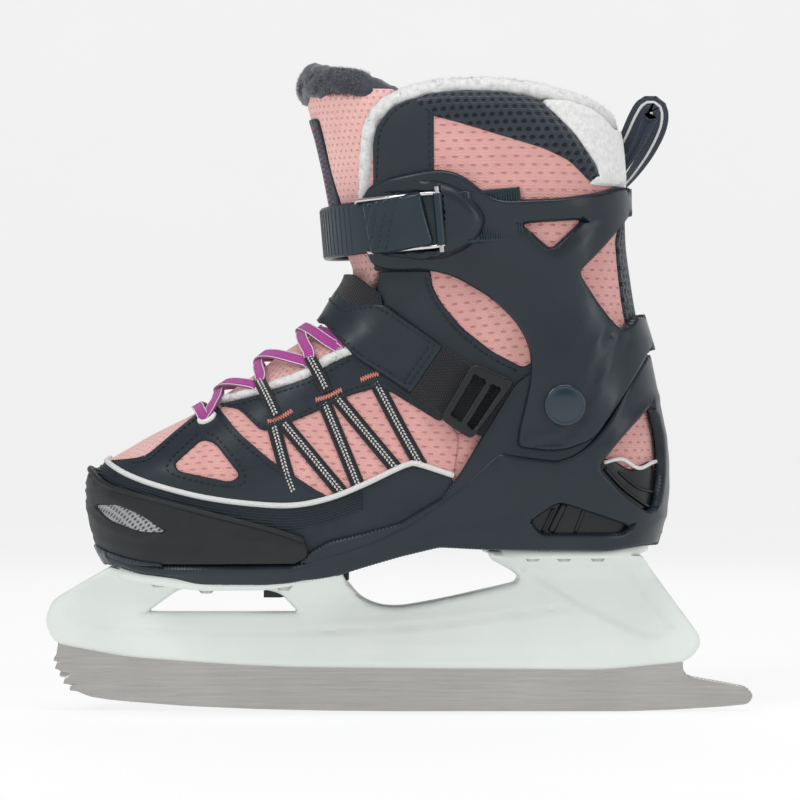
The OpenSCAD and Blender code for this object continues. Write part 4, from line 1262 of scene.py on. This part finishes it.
# dark strip with a zigzag stitch up the tongue's front
panel("tongue_strip", [(FRONT_FAR, 248, 0), (-34.0, 248, 2), (-28.2, 226), (-23.4, 208, 2), (-21.6, 196, 1),
                       (FRONT_FAR, 196, 0)], LEATHER, "cuff", slot="tongue_plush", step=2.2, edge=0.7, thick=0.8, off=0.2,
      under=-0.8, corner=1)
bag = Bag()
for sign in (-1, 1):
    pts, nor = [], []
    for i in range(41):
        z = 203 + 42 * i / 40
        s = sign * (0.14 + 0.05 * (1 if i % 2 else -1))
        nor.append(normal_at(s, z))
        pts.append(surf(s, z, 1.15))
    bag.add(*sweep(pts, nor, [(x, y * 0.6) for x, y in circle(0.45, 6)]))
bag.make("tongue_zigzag", LACE, "cuff", slot="lace_magenta")

# ---------------------------------------------------------------- cuff
CUFF = [(-14.7, 189.6, 2), (-18.0, 200, 3), (-18.6, 213.1, 3), (-14.1, 219.5, 3), (-4.5, 222.4, 3), (8, 224.6, 4),
        (17, 225.1, 4), (25.4, 223, 4), (35.9, 214.8, 3), (42.2, 212.6, 3), (67.4, 213.4, 6), (84, 216.0, 6),
        (93.5, 219.0, 2), (HEEL_FAR, 219.5, 0), (HEEL_FAR, 207.6, 0), (97.0, 207.4, 1), (94.5, 203.5, 3), (84.2, 191.8, 4),
        (74.6, 183.1, 2.5), (84.2, 168.8, 4), (90.5, 159.8, 3), (95, 160.5, 3), (99.5, 165.6, 2), (HEEL_FAR, 166.2, 0),
        (HEEL_FAR, 151, 0), (103.5, 150.2, 2), (100.8, 145.2, 3), (94.5, 135.0, 4), (88.5, 126.0, 4), (80, 114.2, 5),
        (67.4, 109.8, 6), (59, 109.5, 5), (47.8, 111.3, 2), (48.5, 118, 4), (53.6, 139, 7), (53.6, 151.6, 7),
        (48.5, 162.1, 7), (38, 172.6, 7), (21.2, 182.4, 6), (8.6, 184.6, 3), (-1.9, 184.0, 3), (-7.8, 184.4, 3),
        (-12.5, 186.7, 2)]
CUFF_WINDOW = [(49.6, 202.8, 2.5), (77.4, 204.6, 2.5), (62.6, 192.5, 2.5)]
crease = line_dist([(84.5, 158.5), (78, 141), (73, 121), (66, 113.5), (53.3, 111.5)])
band_line = line_dist([(26, 221), (38, 211.5), (60, 209.5), (90, 212)])


def cuff_off(z):
    return lerp_at(z, [(104, 3.1), (150, 3.1), (172, 1.0), (230, 1.0)])


def cuff_height(x, z, d):
    h = cuff_off(z) + edge_profile(d, 3.4, 1.7, 0.3)
    h -= 0.7 * smooth01(1 - crease(x, z) / 1.2)
    h += 0.5 * smooth01(1 - abs(crease(x, z) - 3.0) / 3.0)
    win = min(abs(cuff_win(x, z)), 4)
    if cuff_win(x, z) > -4.5:
        h -= 1.2 * smooth01(1 - win / 4.5)
    return h


cuff_win = area_depth(CUFF_WINDOW)
cuff = Panel(round_poly(CUFF, 2.0, 5), holes=[round_poly(CUFF_WINDOW, 2, 4)], step=2.6, edge=1.7, height=cuff_height,
             off=0.0, under=0.4, seen=5.2)
# the inner face follows the same offset as the outer one
n = len(cuff.flat)
for i, p in enumerate(cuff.flat):
    base, nrm = cuff.frame_at(p)
    cuff.verts[n + i] = base + nrm * (cuff_off(base.z) - 0.5)
v, f, uv = both(cuff)
make("cuff_shell_navy", v, f, NAVY_CUFF, "cuff", ("cuff_shell",), "navy_shell", uv, sharp=42, doubles=0.02)

SHIN_X, SHIN_Z, TILT = 14.0, 204.0, math.radians(5)
STRAP_R = 44.5


def shin_plane(r):
    """Depth of the buckle's surface: round the shin in front, straight behind."""
    def f(x, z):
        dx = x - SHIN_X
        return -math.sqrt(max(r * r - dx * dx, 9.0)) if dx < 0 else -r
    return f


def shin_normal(x, z):
    dx = min(x - SHIN_X, 0) / 46
    return Vector((dx, -math.sqrt(max(1 - dx * dx, 0.05)), 0))


BOSS = [(-7.5, 216.4, 3), (2, 219.6, 4), (14, 220.8, 5), (23, 218.4, 5), (30.5, 212.6, 5), (35.3, 205.8, 5), (34, 199, 5),
        (28, 192.5, 5), (18, 188.4, 4), (8, 188.0, 3), (-8.4, 190.0, 2)]
well = line_dist([(15.0, 220), (16.4, 205), (14.0, 188)])


def boss_height(x, z, d):
    """A dome over the strap's end, cut down to a well where the lever lies."""
    dome = 6.2 * math.sqrt(max(0.0, 1 - (1 - min(d / 6.5, 1)) ** 2)) + 0.3
    edge = lerp_at(z, [(188, 14.0), (205, 16.4), (220, 15.0)])
    rim = 1.6 + 1.6 * smooth01((x - 2) / 12)
    low = min(dome, rim if (z > 215.6 or z < 191.6) else 0.9)
    return low + (dome - low) * smooth01((x - edge) / 1.6)


boss = Panel(round_poly(BOSS, 3, 6), step=1.5, edge=2.6, height=boss_height, off=-1.2, under=-6.5, plane=shin_plane(43.6),
             nor=shin_normal)
bag = Bag()
bag.add(boss.verts, boss.faces, boss.uvs)
bag.make("buckle_base_navy", NAVY_CUFF, "cuff", replaces=("buckle_base",), slot="buckle_black", sharp=45)


def shin_point(deg, r, h):
    """Point round the shin: 0 degrees is straight back, 180 is the front; h along the tilted axis."""
    x, y = r * math.cos(math.radians(deg)), r * math.sin(math.radians(deg))
    return Vector((SHIN_X + x * math.cos(TILT) - h * math.sin(TILT), y, SHIN_Z + x * math.sin(TILT) + h * math.cos(TILT)))


def shin_dir(deg):
    return (shin_point(deg, 1, 0) - shin_point(deg, 0, 0)).normalized()


# toothed strap: behind the buckle straight to its end, round the shin to the screw
path, pn = [], []
back = Vector((math.cos(TILT), 0, math.sin(TILT)))
for i in range(25):
    d = 36 * (1 - i / 24)
    base = shin_point(270, STRAP_R + 1.25, 0)
    path.append(base + back * d + Vector((0, 4.6, 0)) * smooth01((d - 13) / 7))
    pn.append(shin_dir(270))
for i in range(1, 61):
    a = 270 - 180 * i / 60
    path.append(shin_point(a, STRAP_R + 1.25, 0))
    pn.append(shin_dir(a))
for i in range(1, 4):
    path.append(shin_point(90, STRAP_R + 1.25, 0) + back * 2 * i)
    pn.append(shin_dir(90))
bag = Bag()
bag.add(*sweep(path, pn, rect(21.6, 2.4, 0.8, 4)))
up = shin_point(0, 0, 1) - shin_point(0, 0, 0)
for k in range(16):
    d = 34.5 - k * 2.1
    c = shin_point(270, STRAP_R + 2.45, 0) + back * d + Vector((0, 4.6, 0)) * smooth01((d - 13) / 7)
    bag.add(*sweep([c - up * 9.6, c + up * 9.6], [shin_dir(270)] * 2, [(-0.75, -0.3), (0.75, -0.3), (0.2, 0.75), (-0.35, 0.75)]))
for k in range(22):
    a = 222 - k * 4.0
    c = shin_point(a, STRAP_R + 2.4, 0)
    bag.add(*sweep([c - up * 9.8, c + up * 9.8], [shin_dir(a)] * 2, [(-0.9, -0.3), (0.9, -0.3), (0.5, 0.28), (-0.5, 0.28)]))
bag.make("ladder_strap_navy", BUCKLE, "cuff", replaces=("ladder_strap",), slot="buckle_black", sharp=40)

# lever with finger ribs, and its sprung wires
LEVER = [(-14.9, 211.0, 2), (-4, 213.3, 3), (8.5, 215.8, 2), (13.8, 194.2, 2), (2, 191.4, 3), (-11.4, 190.1, 2)]


def lever_height(x, z, d):
    h = edge_profile(d, 2.0, 1.5, 0.35)
    t = x + 0.26 * (z - 202)
    t = x - 0.20 * (z - 202)
    if -14.5 < t < -1.5:
        h += 0.95 * (abs(math.cos((t + 14.5) * math.pi / 3.2)) ** 0.8 - 0.75) * smooth01((d - 0.4) / 1.0)
    if t >= -1.5:
        h += 0.9 * math.sin(math.pi * min((t + 1.5) / 15.0, 1)) * smooth01(d / 1.5)
    return h


lever = Panel(round_poly(LEVER, 2, 5), step=0.8, edge=1.5, height=lever_height, off=0.0, under=-1.3,
              plane=shin_plane(STRAP_R + 3.6), nor=shin_normal)
bag = Bag()
bag.add(lever.verts, lever.faces, lever.uvs)
up = shin_point(0, 0, 1) - shin_point(0, 0, 0)
hinge = shin_point(270, 49.3, 0) + Vector((math.cos(TILT), 0, math.sin(TILT))) * 2
bag.add(*sweep([hinge - up * 10.6, hinge + up * 10.6], [Vector((0, -1, 0))] * 2, circle(1.9, 20)))
bag.make("buckle_lever_navy", BUCKLE, "lever", replaces=("buckle_lever",), slot="buckle_black", sharp=45)
bag = Bag()
for h, a0 in ((10.9, 231), (-10.9, 236)):
    pts = [shin_point(a0 + (269 - a0) * i / 16, 48.7, h) for i in range(17)]
    pts.insert(0, shin_point(a0 - 2, 48.0, h * 0.9))
    pts += [hinge + up * h * 0.97 + Vector((0.6, -0.2, 0)), hinge + up * h * 0.93 + Vector((1.6, 0.6, 0))]
    bag.add(*sweep(pts, [Vector((0, 0, 1))] * len(pts), circle(0.8, 12)))
bag.make("buckle_wires_chrome", CHROME, "lever", replaces=("buckle_wires",), slot="chrome_wire")

# ankle rivets: low domed caps with a turned edge
bag = Bag()
for sign in (-1, 1):
    verts, faces = [], []
    prof = [(3.9, 33), (3.9, 42.2), (8.3, 42.3), (8.5, 42.9), (8.5, 43.5), (8.1, 44.0), (7.5, 44.15), (7.1, 43.95), (6.7, 44.0),
            (5.2, 44.45), (3.4, 44.75), (1.6, 44.9), (0.02, 44.95)]
    SEGS = 48
    for r, y in prof:
        for k in range(SEGS):
            g = 2 * math.pi * k / SEGS
            verts.append((67.5 + r * math.cos(g), sign * y, 128.5 + r * math.sin(g)))
    for i in range(len(prof) - 1):
        for k in range(SEGS):
            a, b = i * SEGS + k, i * SEGS + (k + 1) % SEGS
            faces.append((a, b, b + SEGS, a + SEGS))
    faces.append(tuple(range(SEGS)))
    faces.append(tuple(range((len(prof) - 1) * SEGS, len(prof) * SEGS)))
    bag.add(verts, faces)
bag.make("pivot_rivet_caps", RIVET, "boot", replaces=("pivot_rivets",), slot="rivet_cap", sharp=50)

# ---------------------------------------------------------------- heel vent inserts
panel("vent_recess", [(80, 106, 1), (88, 106.6), (97.5, 101.6), (108, 105.5, 1), (109.8, 96, 1), (106, 82, 1), (100, 81, 1)],
      BLACK, "boot", slot="buckle_black", step=1.8, edge=1.0, thick=1.0, off=-0.6, under=-1.4, corner=2, seen=4.0)
panel("low_vent_recess", [(50, 82, 1), (66, 92, 1), (100, 80, 1), (94, 73, 1), (56, 73, 1)], BLACK, "boot",
      slot="buckle_black", step=1.8, edge=1.0, thick=1.0, off=-0.6, under=-1.4, corner=2, seen=4.0)
bag = Bag()
for line, r in (([(62, 76.5), (67.5, 88)], 1.5), ([(58.5, 76.5), (63, 86)], 0.7), ([(72, 76), (76, 86.5)], 0.8),
                ([(84, 102.5), (92, 94), (103, 86)], 1.0), ([(90, 101), (98, 94.5), (107, 92)], 0.8)):
    for sign in (-1, 1):
        pts, nor = on_side(line, 0.6, 1.2, True, sign)
        bag.add(*sweep(pts, nor, circle(r, 10)))
bag.make("vent_fins", BLACK, "boot", slot="buckle_black")
bag = Bag()
for sign in (-1, 1):
    pts, nor = on_side([(83.5, 104.8), (91.0, 106.2), (98, 102.4), (104, 104.6), (108.2, 105.4)], 0.9, 1.0, True, sign)
    bag.add(*sweep(pts, nor, [(x, y * 0.6) for x, y in circle(0.8, 8)]))
bag.make("vent_chevron", PIPING, "boot", slot="eyelet_white")

# ---------------------------------------------------------------- straps at the side of the toe
WEBS = [[(-52.2, 121.0), (-46.5, 100.9), (-43.4, 92.6)], [(-47.8, 121.0), (-35.5, 106.5), (-23.6, 92.4)],
        [(-31.2, 129.5), (-23.5, 111), (-17.0, 95.2)], [(-26.4, 132.0), (-13.5, 116.5), (-1.6, 102.4)],
        [(-10.0, 138.0), (-0.5, 119.8), (8.6, 103.4)]]
LOOPS = [[(-57.2, 137.6), (-53.6, 130.0), (-50.7, 123.2)], [(-36.6, 147.4), (-33.2, 140.5), (-30, 133.7)]]
bag = Bag()
white = Bag()


def chain(bag, pts, nor, lift):
    """A light chain woven down the middle of a band: two rows of slanting links."""
    run = [0.0]
    for p, q in zip(pts, pts[1:]):
        run.append(run[-1] + (q - p).length)
    total, d, k = run[-1], 0.5, 0
    while d < total - 0.6:
        i = max(j for j in range(len(run)) if run[j] <= d)
        i = min(i, len(pts) - 2)
        f = (d - run[i]) / (run[i + 1] - run[i])
        p = pts[i].lerp(pts[i + 1], f)
        t = (pts[i + 1] - pts[i]).normalized()
        n = nor[i].lerp(nor[i + 1], f).normalized()
        b = t.cross(n).normalized()
        for side_k in (-1, 1):
            c = p + b * 0.62 * side_k + n * lift + t * (0.35 if side_k > 0 else 0)
            bag.add(*capsule(c - t * 0.62 - b * 0.30 * side_k, c + t * 0.62 + b * 0.30 * side_k, n, 0.75, 0.6))
        d += 1.45
        k += 1


for line in WEBS:
    for sign in (-1, 1):
        pts, nor = on_side(line, 0.35, 1.5, True, sign)
        bag.add(*sweep(pts, nor, rect(5.8, 1.0, 0.4)))
        chain(white, pts, nor, 0.5)
bag.make("side_webbing_black", WEB, "toe", replaces=("side_webbing",), slot="webbing", sharp=50)
bag = Bag()
for line in LOOPS:
    for sign in (-1, 1):
        pts, nor = on_side(line, 2.0, 1.2, True, sign)
        n = len(pts)
        pts = [p + q * (1.6 * math.sin(math.pi * min(1, i / (n - 1) + 0.25))) for i, (p, q) in enumerate(zip(pts, nor))]
        bag.add(*sweep(pts, nor, rect(5.2, 1.1, 0.4)))
        chain(white, pts, nor, 0.55)
bag.make("lace_loops_black", WEB, "toe", replaces=("lace_loops",), slot="webbing", sharp=50)
white.make("webbing_chain_white", WHITE_THREAD, "toe", slot="webbing")
bag = Bag()
for line in ([(-54.1, 121.4), (-49, 123.2), (-44, 126)], [(-34.5, 130.3), (-29, 132.0), (-23.7, 134.7)],
             [(-16, 138.6), (-12, 140.4), (-8.4, 141.3)]):
    for sign in (-1, 1):
        pts, nor = on_side(line, 1.35, 0.55, True, sign)
        for i in range(len(pts) - 1):
            t = (pts[i + 1] - pts[i]).normalized()
            b = t.cross(nor[i]).normalized()
            k = 1 if i % 2 else -1
            bag.add(*capsule(pts[i] - b * 1.1 - t * 0.2 * k, pts[i] + b * 1.1 + t * 0.2 * k, nor[i], 0.5, 0.6))
bag.make("coral_tacks", CORAL, "toe", slot="lace_magenta")

# white plush edge under the laces
bag = Bag()
for sign in (-1, 1):
    pts, nor = on_side([(-75.6, 129.0), (-67.5, 131.4), (-60.4, 133.2), (-49, 137.2), (-38.1, 141.4), (-29.3, 147.2),
                        (-19.5, 151.5)], 0.5, 1.0, True, sign)
    bag.add(*roll(pts, nor, 2.0, 0.25, 1.1, 12))
    fuzz(bag, pts, nor, 2.0, 2200, 1.2, 0.11, seed=9 + sign)
bag.make("eyestay_fur", FUR, "toe", slot="collar_fabric")

# eyelets
bag = Bag()


def ring_on(bag, at, nor, profile, seg=36):
    """A turned ring standing on a surface: profile of (radius, height)."""
    a = nor.cross(Vector((0, 0, 1))).normalized()
    b = nor.cross(a).normalized()
    verts, faces = [], []
    m = len(profile)
    for k in range(seg):
        g = 2 * math.pi * k / seg
        d = a * math.cos(g) + b * math.sin(g)
        verts += [at + d * r + nor * h for r, h in profile]
    for k in range(seg):
        for i in range(m):
            p, q = k * m + i, k * m + (i + 1) % m
            r, s = ((k + 1) % seg) * m + (i + 1) % m, ((k + 1) % seg) * m + i
            faces.append((p, q, r, s))
    bag.add(verts, faces)


for sign in (-1, 1):
    p, n = on_side([(-79.4, 122.4), (-79.3, 122.5)], 0.6, 1, False, sign)
    ring_on(bag, p[0], n[0], [(2.3, 0.3), (2.35, 1.1), (2.7, 1.6), (3.3, 1.75), (3.9, 1.5), (4.25, 0.9), (4.3, 0.2), (3.6, 0.0)])
bag.make("eyelet_rings_white", EYELET, "toe", replaces=("front_eyelets",), slot="eyelet_white", sharp=60)

# ---------------------------------------------------------------- laces
def lace_path(points, n=14):
    """Smooth strand through (s, z, height off the boot) stations."""
    line = spaced(catmull(points, n), 0.02) if False else catmull(points, n)
    pts = [surf(s, z, off) for s, z, off in line]
    nor = [normal_at(s, z) for s, z, off in line]
    return pts, nor


def at_side(x, z):
    return s_of(x, z), z


bag = Bag()
white = Bag()
S0, Z0 = at_side(-79.4, 122.4)
S1, Z1 = at_side(-56.2, 135.4)
S2, Z2 = at_side(-35.4, 145.6)
S3, Z3 = at_side(-20.5, 150.5)
strands = []
strands.append([(S0, Z0 - 0.6, 1.2), (S0 * 0.86, Z0 + 0.6, 3.4), (S0 * 0.5, Z0 + 2.6, 3.2), (0, Z0 + 3.4, 3.0),
                (-S0 * 0.5, Z0 + 2.6, 3.2), (-S0 * 0.86, Z0 + 0.6, 3.4), (-S0, Z0 - 0.6, 1.2)])
for g in (1, -1):
    up = 0.0 if g > 0 else 1.5
    strands.append([(g * S0, Z0 - 0.4, 1.0), (g * S0 * 0.93, Z0 + 2.4, 3.6), (g * S0 * 0.6, Z0 + 7.2, 3.6 + up),
                    (0, Z0 + 10.4, 3.5 + up), (-g * S1 * 0.55, Z1 - 1.4, 3.6 + up), (-g * S1 * 0.9, Z1 - 0.6, 2.9),
                    (-g * S1, Z1 - 1.0, 1.9)])
    strands.append([(g * S1, Z1 - 1.2, 1.9), (g * S1 * 0.85, Z1 + 2.6, 4.2), (g * S1 * 0.4, Z1 + 7.0, 4.0 + up),
                    (0, Z1 + 9.6, 3.8 + up), (-g * S2 * 0.5, Z2 + 0.2, 3.8 + up), (-g * S2 * 0.9, Z2 - 0.4, 3.0),
                    (-g * S2, Z2 - 1.0, 2.0)])
    strands.append([(g * S2, Z2 - 1.2, 2.0), (g * S2 * 0.85, Z2 + 3.0, 4.4), (g * S2 * 0.45, Z2 + 8.2, 4.4 + up),
                    (0, Z2 + 11.2, 4.0 + up), (-g * S3 * 0.4, Z3 + 5.5, 3.0 + up), (-g * S3 * 0.8, Z3 + 2.0, 1.0),
                    (-g * S3, Z3 - 0.5, 0.0)])
    strands.append([(g * S3, Z3 - 0.5, 0.0), (g * S3 * 0.85, Z3 + 3.2, 1.0), (g * S3 * 0.5, Z3 + 7.2, 0.8),
                    (0, Z3 + 9.4, 0.6)])
for st in strands:
    pts, nor = lace_path(st)
    v, f, uv = sweep(pts, nor, rect(4.7, 1.3, 0.5))
    bag.add(v, f, uv)
    for e in (-2.1, 2.1):
        edge = []
        for i, p in enumerate(pts):
            t = (pts[min(i + 1, len(pts) - 1)] - pts[max(i - 1, 0)]).normalized()
            nn = (nor[i] - t * nor[i].dot(t)).normalized()
            edge.append(p + t.cross(nn) * e + nn * 0.5)
        white.add(*sweep(edge, nor, [(x, y * 0.6) for x, y in circle(0.3, 6)]))
bag.make("lace_magenta", LACE, "toe", replaces=("lace",), slot="lace_magenta", sharp=60)
white.make("lace_edges_white", WHITE_THREAD, "toe", slot="lace_magenta")

# ---------------------------------------------------------------- instep strap
STRAP_LEATHER = [(FRONT_FAR, 161.5, 0), (-33.5, 161.5, 1), (-28.5, 156.3, 2), (-17.3, 147.1, 4), (-6, 139.8, 4),
                 (4.7, 132.6, 2), (18.2, 152.3, 2), (6, 161.5, 4), (-7.1, 170.2, 3), (-14, 170.0, 3), (-20.5, 168.9, 3),
                 (-26.3, 174.6, 2), (FRONT_FAR, 175.2, 0)]
panel("instep_strap_leather", STRAP_LEATHER, LEATHER, "boot", replaces=("instep_strap",), slot="navy_leather", step=2.3,
      edge=1.2, thick=1.5, off=2.2, under=2.0, corner=2, seen=3.0)
panel("instep_elastic", [(FRONT_FAR, 172.5, 0), (-28, 172.0, 1), (-21.5, 167.5, 1), (-7.2, 168.8, 1), (-7.8, 173.4, 2),
                         (-18.5, 182.6, 2), (FRONT_FAR, 183.5, 0)], WEB, "boot", slot="webbing", step=2.3, edge=0.8,
      thick=0.7, off=2.9, under=2.5, corner=2, seen=2.0)
panel("instep_webbing", [(4.2, 133.0, 1), (24.8, 118.9, 1), (39.8, 138.2, 1), (17.8, 152.8, 1)], WEB, "boot", slot="webbing",
      step=2.2, edge=0.9, thick=1.4, off=2.0, under=1.4, corner=1, seen=3.0)
panel("ring_webbing_black", [(37.0, 140.6, 1), (47.5, 136.0, 1), (34.6, 115.0, 1), (24.4, 119.6, 1)], WEB, "boot",
      replaces=("ring_webbing",), slot="webbing", step=2.2, edge=0.9, thick=1.2, off=1.0, under=0.6, corner=1, seen=2.0)
ring = Panel(round_poly([(29.6, 145.8, 3), (16.2, 123.0, 3), (29.3, 114.2, 3), (47.2, 138.4, 3)], 3, 5),
             holes=[round_poly([(30.6, 141.0), (20.8, 124.6), (25.0, 121.8), (35.2, 138.2)], 1.5),
                    round_poly([(37.8, 137.0), (27.6, 120.3), (30.2, 118.4), (41.2, 135.0)], 1.2)],
             step=1.6, edge=0.9, thick=2.8, lip=0.7, off=0.0, under=0.0, plane=lambda x, z: -38.7,
             nor=lambda x, z: Vector((0, -1, 0)))
v, f, uv = both(ring)
make("strap_rings_black", v, f, BLACK, "boot", ("strap_rings",), "buckle_black", uv, sharp=45)

# ---------------------------------------------------------------- pull loop
LOOP_PATH = [(84.5, 218), (90.0, 227), (97.0, 239), (101.6, 248.6), (104.4, 252.8), (107.0, 252.0), (106.6, 246.0),
             (102.6, 237.0), (97.0, 228.0), (91.5, 220.5), (87.5, 216.5)]
line = spaced(catmull(LOOP_PATH, 8), 1.2)
pts = [Vector((x, 0, z)) for x, z in line]
nor = []
for i, p in enumerate(pts):
    t = (pts[min(i + 1, len(pts) - 1)] - pts[max(i - 1, 0)]).normalized()
    out = Vector((-t.z, 0, t.x))
    lean = 1.0 * math.sin(math.pi * i / (len(pts) - 1)) ** 0.6
    w = Vector((0, 1, 0)) * math.cos(lean) + out * math.sin(lean)
    nor.append(t.cross(w).normalized())
v, f, uv = sweep(pts, nor, rect(13.5, 1.4, 0.55))
make("pull_loop_navy", v, f, WEB_NAVY, "cuff", ("pull_loop",), "webbing", uv, sharp=50)
bag = Bag()
for e in (-3.0, 2.6):
    for h in (-0.72, 0.72):
        edge = []
        for i, p in enumerate(pts):
            t = (pts[min(i + 1, len(pts) - 1)] - pts[max(i - 1, 0)]).normalized()
            nn = (nor[i] - t * nor[i].dot(t)).normalized()
            edge.append(p + t.cross(nn) * e + nn * h)
        bag.add(*sweep(edge, nor, rect(1.3, 0.4, 0.15)))
bag.make("pull_loop_lines", WHITE_THREAD, "cuff", slot="webbing")

# ---------------------------------------------------------------- stitches
bag = Bag()
for line, off in (([(-110.5, 104.2), (-102.6, 106.0), (-92.8, 114.8), (-82.4, 123.6)], 1.15),
                  ([(-76.6, 125.8), (-67.4, 115.2), (-53.0, 103.6), (-34.2, 92.0)], 1.15),
                  ([(-82.6, 116.4), (-94.4, 104.9), (-92.0, 99.8), (-69.6, 95.2), (-63.2, 99.4), (-73.6, 113.4),
                    (-80.4, 117.2)], 1.15),
                  ([(-74.0, 126.6), (-60.4, 129.8), (-38.3, 137.2), (-28.6, 142.6), (-18.9, 148.2)], 1.35),
                  ([(-64.6, 127.0), (-56.4, 119.8), (-50.2, 121.0), (-36.6, 126.9), (-20.8, 134.5), (-11.4, 137.1),
                    (-5.2, 136.4), (14, 123.6)], 1.35)):
    stitch_line(bag, line, off, pitch=2.6, w=0.7, h=0.6)
bag.make("toe_stitches", THREAD, "toe", slot="navy_leather")
bag = Bag()
for line, off in (([(-27.5, 158.2), (-16.4, 149.3), (-5.2, 142.0), (4.0, 135.7)], 3.8),
                  ([(15.4, 151.8), (5.2, 159.3), (-7.2, 167.8), (-14, 167.8), (-21.6, 166.4), (-28, 172.4)], 3.8),
                  ([(3.6, 136.0), (14.6, 151.6)], 3.8), ([(1.6, 137.4), (12.6, 152.9)], 3.8)):
    stitch_line(bag, line, off, pitch=2.6, w=0.8, h=0.6)
bag.make("strap_stitches", THREAD, "boot", slot="navy_leather")
bag = Bag()
for line, off in (([(48.5, 142.4), (36.5, 148.8), (24.6, 158.1), (16.0, 168.4), (11.6, 176.6), (10.6, 183)], 1.2),
                  ([(11.9, 250.4), (12.2, 226), (12.0, 200), (11.8, 188)], 1.15),
                  ([(-8.4, 190), (-9.4, 212), (-8.8, 234), (-7.4, 242), (-2.2, 249.2), (4.5, 252.8)], 1.15),
                  ([(91.9, 203), (90.7, 196), (91.7, 184), (93.1, 172), (94.6, 164)], 1.1)):
    stitch_line(bag, line, off, pitch=2.7, w=0.75, h=0.6)
bag.make("collar_stitches", THREAD, "cuff", slot="navy_leather")

# ---------------------------------------------------------------- looks of the CAD nodes that stay
for node, m in (("front_screws", SCREW), ("rear_screws", SCREW), ("lock_pin", SCREW), ("lock_lever", BLACK),
                ("footbed", INSOLE), ("toe_slider", SOLE_MAT), ("buckle_pin", SCREW), ("strap_screw", SCREW)):
    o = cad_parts[node]
    o.data.materials.clear()
    o.data.materials.append(m)

# ---------------------------------------------------------------- studio
stage_mat = Mat("studio_paper", Roughness=0.9, Specular_IOR_Level=0.1)
at = stage_mat.obj()
stage_mat.set("Base Color", stage_mat.ramp(stage_mat.noise(at, 8, 2), (0.3, (0.27, 0.27, 0.272)), (0.7, (0.28, 0.28, 0.282))))
height = stage_mat.put("ShaderNodeSeparateXYZ", at).outputs[2]
stage_mat.b.inputs["Emission Color"].default_value = (1.0, 1.0, 1.0, 1)
stage_mat.set("Emission Strength", stage_mat.remap(height, 0.9, 1.5, 0.735, 0.12))
verts, faces = [], []
profile = [(0.02, 0.0), (0.6, 0.0), (1.4, 0.0), (2.2, 0.0)]
for k in range(1, 13):
    g = math.radians(90 * k / 12)
    profile.append((2.2 + 1.2 * math.sin(g), 1.2 - 1.2 * math.cos(g)))
profile.append((3.4, 4.0))
TURNS = 72
for k in range(TURNS):
    g = 2 * math.pi * k / TURNS
    verts += [(r * math.cos(g), r * math.sin(g), z) for r, z in profile]
n = len(profile)
for k in range(TURNS):
    a, b = k * n, (k + 1) % TURNS * n
    faces += [(a + i, b + i, b + i + 1, a + i + 1) for i in range(n - 1)]
faces.append(tuple(k * n for k in reversed(range(TURNS))))
me = bpy.data.meshes.new("studio_sweep")
me.from_pydata(verts, [], [tuple(reversed(f)) for f in faces])
me.shade_smooth()
me.materials.append(stage_mat.m)
sweep_obj = bpy.data.objects.new("studio_sweep", me)
bpy.context.collection.objects.link(sweep_obj)


def area(name, at, look, size, power, color=(1, 1, 1)):
    data = bpy.data.lights.new(name, "AREA")
    data.shape = "RECTANGLE"
    data.size, data.size_y = size
    data.energy = power
    data.color = color
    o = bpy.data.objects.new(name, data)
    o.location = at
    o.rotation_euler = (Vector(look) - Vector(at)).to_track_quat("-Z", "Y").to_euler()
    bpy.context.collection.objects.link(o)


area("key_light", (-0.85, -1.1, 1.2), (0, 0, 0.12), (0.5, 0.7), 8.5)
area("fill_light", (1.2, -0.9, 0.7), (0, 0, 0.12), (0.3, 1.0), 3)
area("top_light", (0.1, -0.35, 1.4), (0, 0, 0.1), (1.0, 0.4), 6)
area("back_light", (0.2, 1.2, 0.9), (0, 0, 0.15), (1.0, 0.6), 3)
world = bpy.data.worlds.new("studio_world")
world.use_nodes = True
world.node_tree.nodes["Background"].inputs[0].default_value = (0.95, 0.97, 1.0, 1)
world.node_tree.nodes["Background"].inputs[1].default_value = 0.30
bpy.context.scene.world = world
bpy.context.scene.view_settings.view_transform = "Standard"

cam_data = bpy.data.cameras.new("photo_camera")
cam_data.sensor_width = 36
DISTANCE = 1.62
cam_data.lens = 36 * DISTANCE / 0.336
cam = bpy.data.objects.new("photo_camera", cam_data)
cam.location = (0.0, -DISTANCE, 0.1306)
cam.rotation_euler = (math.radians(90), 0, 0)
bpy.context.collection.objects.link(cam)
bpy.context.scene.camera = cam
